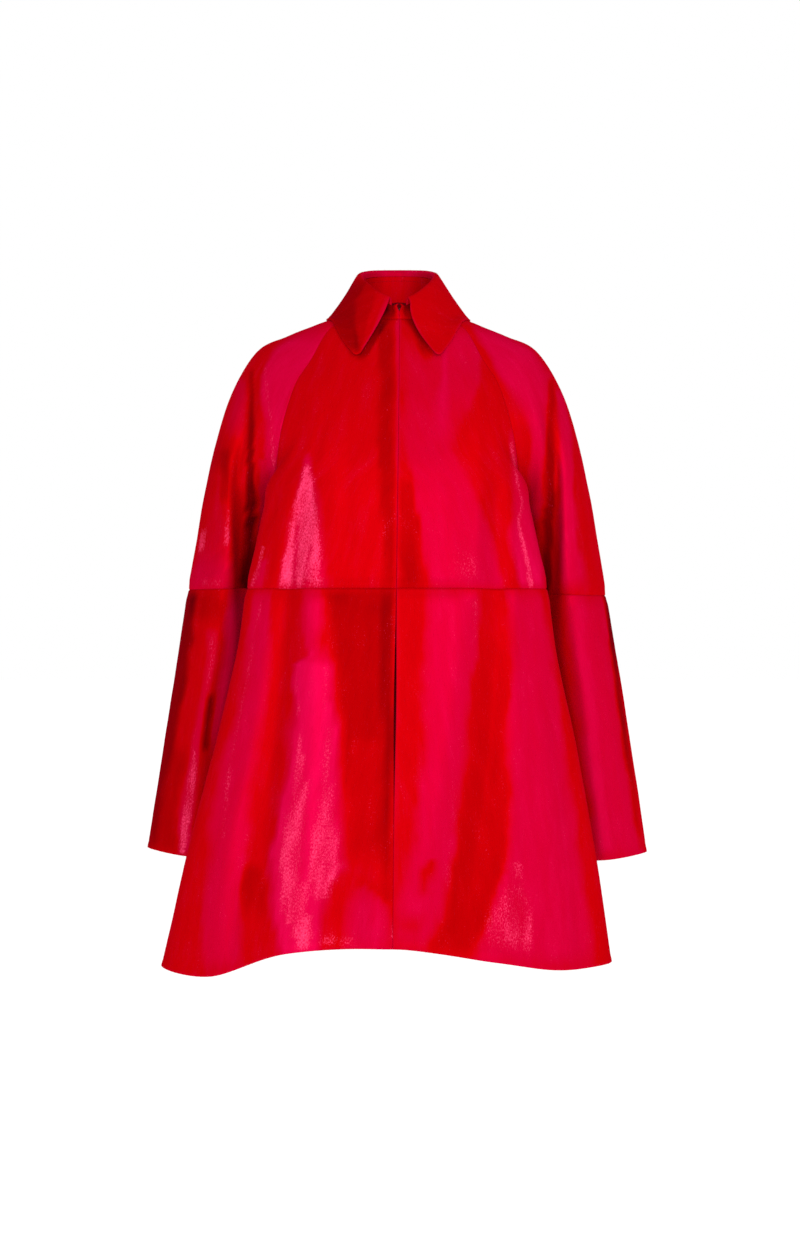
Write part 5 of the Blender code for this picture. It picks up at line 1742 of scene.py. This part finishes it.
def all_stitches(stand, stand_way):
    """The stitches inside the collar, under the seam of its fall, and those that hold hook and eye."""
    tree = stitch_row()
    thread = sewing_thread()
    row = slice(UNDERSTITCH_END, -UNDERSTITCH_END)
    way = stand_way[UNDERSTITCH_ROW]
    inner = stand[UNDERSTITCH_ROW] - way * (WALL + THREAD_WIDTH / 4)
    at = np.array(HOOK_PLACE)
    inward = [(0, 1, 0)] * 2
    shank = [at + (x, 0, 0) for x in (-HOOK_LENGTH + WIRE, -HOOK_LENGTH * HOOK_SHANK)]
    legs = [at + (EYE_LENGTH - WIRE, 0, z) for z in (-EYE_WIDTH / 2, EYE_WIDTH / 2)]
    return [
        stitches(tree, "collar_understitching", inner[row], -way[row], STITCH_LENGTH, STITCH_PITCH, 0,
                 thread),
        stitches(tree, "hook_thread", shank, inward, HOOK_STITCH * WIRE, THREAD_WIDTH, 90, thread),
        stitches(tree, "eye_thread", legs, inward, EYE_STITCH * WIRE, EYE_WIDTH, 0, thread),
    ]


# ------------------------------------------------------------- the coat

def painted_tone(points, ways, part, side):
    """The painted sheen and shade over a part, and its painted glints. A part across both takes each side's.
    """
    if side == "both":
        left, right = [painted_tone(points, ways, part, half) for half in SIDES]
        return np.where(points[..., :1] < 0, left, right)
    unit = directions(ways)
    tables = ((PICTURE_SHEEN_AND_SHADE, BACK_SHEEN_AND_SHADE, SHEEN_SHADE_SOFT), (PICTURE_GLINTS, BACK_GLINTS, GLINT_SOFT))
    return np.stack([stroked(points, unit, part, side, *table) for table in tables], axis=-1)


def shaped(levels):
    """Every outer surface of the body and the sleeves, with its folds, creases and drawn-in seams."""
    grids = {(name, side): grid for side in SIDES for name, grid in surfaces_of(side, levels).items()}
    plain = outward_ways([(grid, side == "left") for (_, side), grid in grids.items()])
    for (name, side), ways in zip(list(grids), plain):
        grid = grids[name, side]
        own = levels[: len(grid)]
        unit = directions(ways)
        lift = folded(np.linspace(0, 1, grid.shape[1]), own, name, side)
        lift += creased(grid, unit, name, side) * from_raglan(grid, name, own)
        lift += drawn_in(grid, name, own) + wavered(grid, WAVER)
        grids[name, side] = grid + unit * (lift * eased(own / NECK_CALM)[:, None])[..., None]
    fronts_met(grids["front", "left"], grids["front", "right"])
    return grids


def fronts_met(left, right):
    """The two front edges drawn to one line between them, with the cloth beside them."""
    middle = (left[:, 0] + right[:, 0]) / 2
    for grid in (left, right):
        move = middle - grid[:, 0]
        nearness = np.exp(-((run_lengths(grid)[1] / FRONT_DRAW) ** 2))
        grid += move[:, None] * nearness[..., None]


def front_gaps(heights):
    """How far a front edge stands from the middle at each height. Below 0 it's pressed past it."""
    return (FRONT_GAP + FRONT_GAPE * np.exp(-(((heights - FRONT_GAPE_Z) / FRONT_GAPE_SPREAD) ** 2))) / 2


def panels(levels, hair, lining):
    """The cut panels of the body and the sleeves, the surfaces that the collar lies on, the stand with its
    ways out, and the fall."""
    grids = shaped(levels)
    stand, fall = collar(grids)
    grids["back", "both"] = joined_across(grids.pop(("back", "left")), grids.pop(("back", "right")))
    skins = [(grid, side != "right") for (_, side), grid in grids.items()]
    ways = outward_ways(skins + [(stand, True)])
    lefts, rights = [way for (name, _), way in zip(grids, ways) if name == "front"]
    lefts[:, 0] = rights[:, 0] = (lefts[:, 0] + rights[:, 0]) / 2
    seam, underarm = row_at(levels, SEAM_LEVEL), row_at(levels, UNDERARM)
    gap = SEAM_GAP / 2
    made = {}
    for ((name, side), grid), way in zip(grids.items(), ways):
        middle = front_gaps(grid[:, 0, 2]) if name == "front" else gap
        whole = parted(grid, way, gap, 0, middle, gap, underarm, UNDERARM_EDGES[name])
        upper, lower = whole[: seam + 1].copy(), whole[seam:].copy()
        halves = {"upper": (upper, way[: seam + 1]), "lower": (lower, way[seam:])}
        upper[-1] += set_back(upper[-1], upper[-2], way[seam], gap)
        lower[0] += set_back(lower[0], lower[1], way[seam], gap)
        ending = "" if side == "both" else "_" + side
        for half, (points, out) in halves.items():
            title = f"{name}_{half}{ending}"
            edges = {"top": "seam", "bottom": "seam" if half == "upper" else "turned",
                     "left": "turned" if name == "front" else "seam", "right": "seam"}
            tone = painted_tone(points, out, PARTS[name.split("_")[0], half], side)
            made[title] = shell(title + "_hide", points, out, tone, side != "right", edges, hair, lining,
                                PATTERN_SHIFT * len(made))
    return made, skins, (stand, ways[-1]), fall


def fall_laid(fall, skins):
    """The fall softened, and laid over the panels without touching them."""
    first = FALL_SEAM_ROWS + ROLL_ROWS + HANGS_FREE
    tree = surface_tree(skins)
    need = WALL + FALL_REST + FALL_RISE * swell(from_ends(fall.shape[1]) / FALL_BOW_REACH)
    fall = settled(softened_fall(fall, first), tree, need, first)
    fall = relaxed(laid_over(fall, tree, need, first), first, FALL_RELAXED)
    return laid_over(fall, tree, need, first)


def collar_pieces(skins, stand, stand_way, fall, hair):
    """The stand, and the fall laid over it and over the panels."""
    gap, half = SEAM_GAP / 2, FRONT_GAP / 2
    stand = parted(ends_met(stand), stand_way, gap, gap, half, half)
    # the painted shadows on the stand's ends beside the falls
    plain = painted_tone(stand, stand_way, "stand", "both")
    ends = {"left": "turned", "right": "turned"}
    made = {"collar_stand": shell("collar_stand_hide", stand, stand_way, plain, True,
                                  {"bottom": "seam", **ends}, hair, hair, STAND_SHIFT)}
    fall = fall_laid(fall, skins)
    fall_way = outward_ways([(fall, True)])[0]
    over = FALL_SEAM_ROWS + ROLL_ROWS // 2
    # painted highlight inside the roll, and painted sheen and shade on the fall
    tone = np.concatenate([painted_tone(fall[:over], fall_way[:over], "collar_inside", "both"),
                           painted_tone(fall[over:], fall_way[over:], "fall", "both")])
    fall = parted(fall, fall_way, top=FALL_SEAM_GAP)
    made["collar_fall"] = shell("collar_fall_hide", fall, fall_way, tone, True,
                                {"bottom": "turned", **ends}, hair, hair, FALL_SHIFT)
    return made


def carriers(made, name, kinds):
    """The pieces of these kinds that carry a piece: on its own side, or on both for one without a side."""
    ending = next((end for end in ("_left", "_right") if name.endswith(end)), "")
    found = []
    for kind in kinds:
        near = [kind + ending] if kind + ending in made else [kind]
        found += near if near[0] in made else [kind + "_left", kind + "_right"]
    return [made[key][0].name for key in found]


def main():
    """The whole coat, on its frame."""
    hair = calf_hair()
    lining = flesh_side()
    levels = all_levels()
    made, skins, (stand, stand_way), fall = panels(levels, hair, lining)
    made.update(collar_pieces(skins, stand, stand_way, fall, hair))
    hairs = short_hairs()
    loose = loose_hair()
    for seed, (name, (piece, skin)) in enumerate(made.items()):
        tufts = made_by(hairs, name + "_hairs", skin, {
            "Hairs to a square metre": HAIRS, "More hairs at painted glints": GLINT_HAIRS,
            "Hair length": HAIR_LENGTH * MM, "Hair width": HAIR_WIDTH * MM,
            "Lift": math.radians(HAIR_LIFT), "Swing": math.radians(HAIR_SWING), "Seed": seed, "Hair": loose})
        for part in (piece, tufts):
            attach(part, "root")
        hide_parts(name)
        kind = name.removesuffix("_left").removesuffix("_right")
        width, length, area, carried_by = CUTS[kind]
        carriers(made, name, carried_by)
    for row in all_stitches(stand, stand_way):
        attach(row, "root")
    for name, piece in zip(("neck_eye", "neck_hook"), hook_and_eye(dark_metal())):
        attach(piece, "root")
        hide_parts(name)


# ------------------------------------------------------------- studio

def camera():
    """A camera at the photo's place."""
    data = bpy.data.cameras.new("camera")
    data.lens = CAMERA_LENS
    data.sensor_width = CAMERA_SENSOR
    made = placed("camera", data)
    made.location = (CAMERA_X * MM, -CAMERA_DISTANCE * MM, EYE_HEIGHT * MM)
    made.rotation_euler = (math.pi / 2, 0, 0)
    return made


def pale_floor():
    """A plain pale floor that glows a little."""
    data = bpy.data.meshes.new("floor")
    low, high = -FLOOR_REACH, FLOOR_REACH
    corners = [(x, y, FLOOR_LEVEL) for x, y in ((low, low), (high, low), (high, high), (low, high))]
    data.from_pydata(corners, [], [(0, 1, 2, 3)])
    pale, tree, shader = material_of("pale_floor")
    fed(tree, shader, {"Base Color": FLOOR_COLOUR, "Roughness": FLOOR_ROUGHNESS, "Emission Color": WHITE,
                       "Emission Strength": FLOOR_GLOW})
    return new_piece("floor", data, (pale,))


def softbox(name, place, size, power):
    """A soft light that is aimed at the middle of the coat."""
    data = bpy.data.lights.new(name, "AREA")
    data.shape = "RECTANGLE"
    data.size, data.size_y = size
    data.energy = power
    lamp = placed(name, data)
    lamp.location = place
    lamp.rotation_euler = (Vector(LIGHTS_AIM) - Vector(place)).to_track_quat("-Z", "Y").to_euler()


def white_world():
    """White all round: plain white behind the coat, and a little dimmer as light on it."""
    world = bpy.data.worlds.new("studio")
    world.use_nodes = True
    tree = world.node_tree
    behind = node(tree, "ShaderNodeLightPath").outputs["Is Camera Ray"]
    fed(tree, tree.nodes["Background"], {"Color": WHITE, "Strength": ranged(tree, behind, AIR_LIGHT, 1.0)})
    return world


def studio():
    """The camera at the photo's place, a plain pale floor and soft light."""
    scene = bpy.context.scene
    scene.view_settings.view_transform = "Standard"
    scene.camera = camera()
    pale_floor()
    for light in LIGHTS:
        softbox(*light)
    scene.world = white_world()


main()
studio()
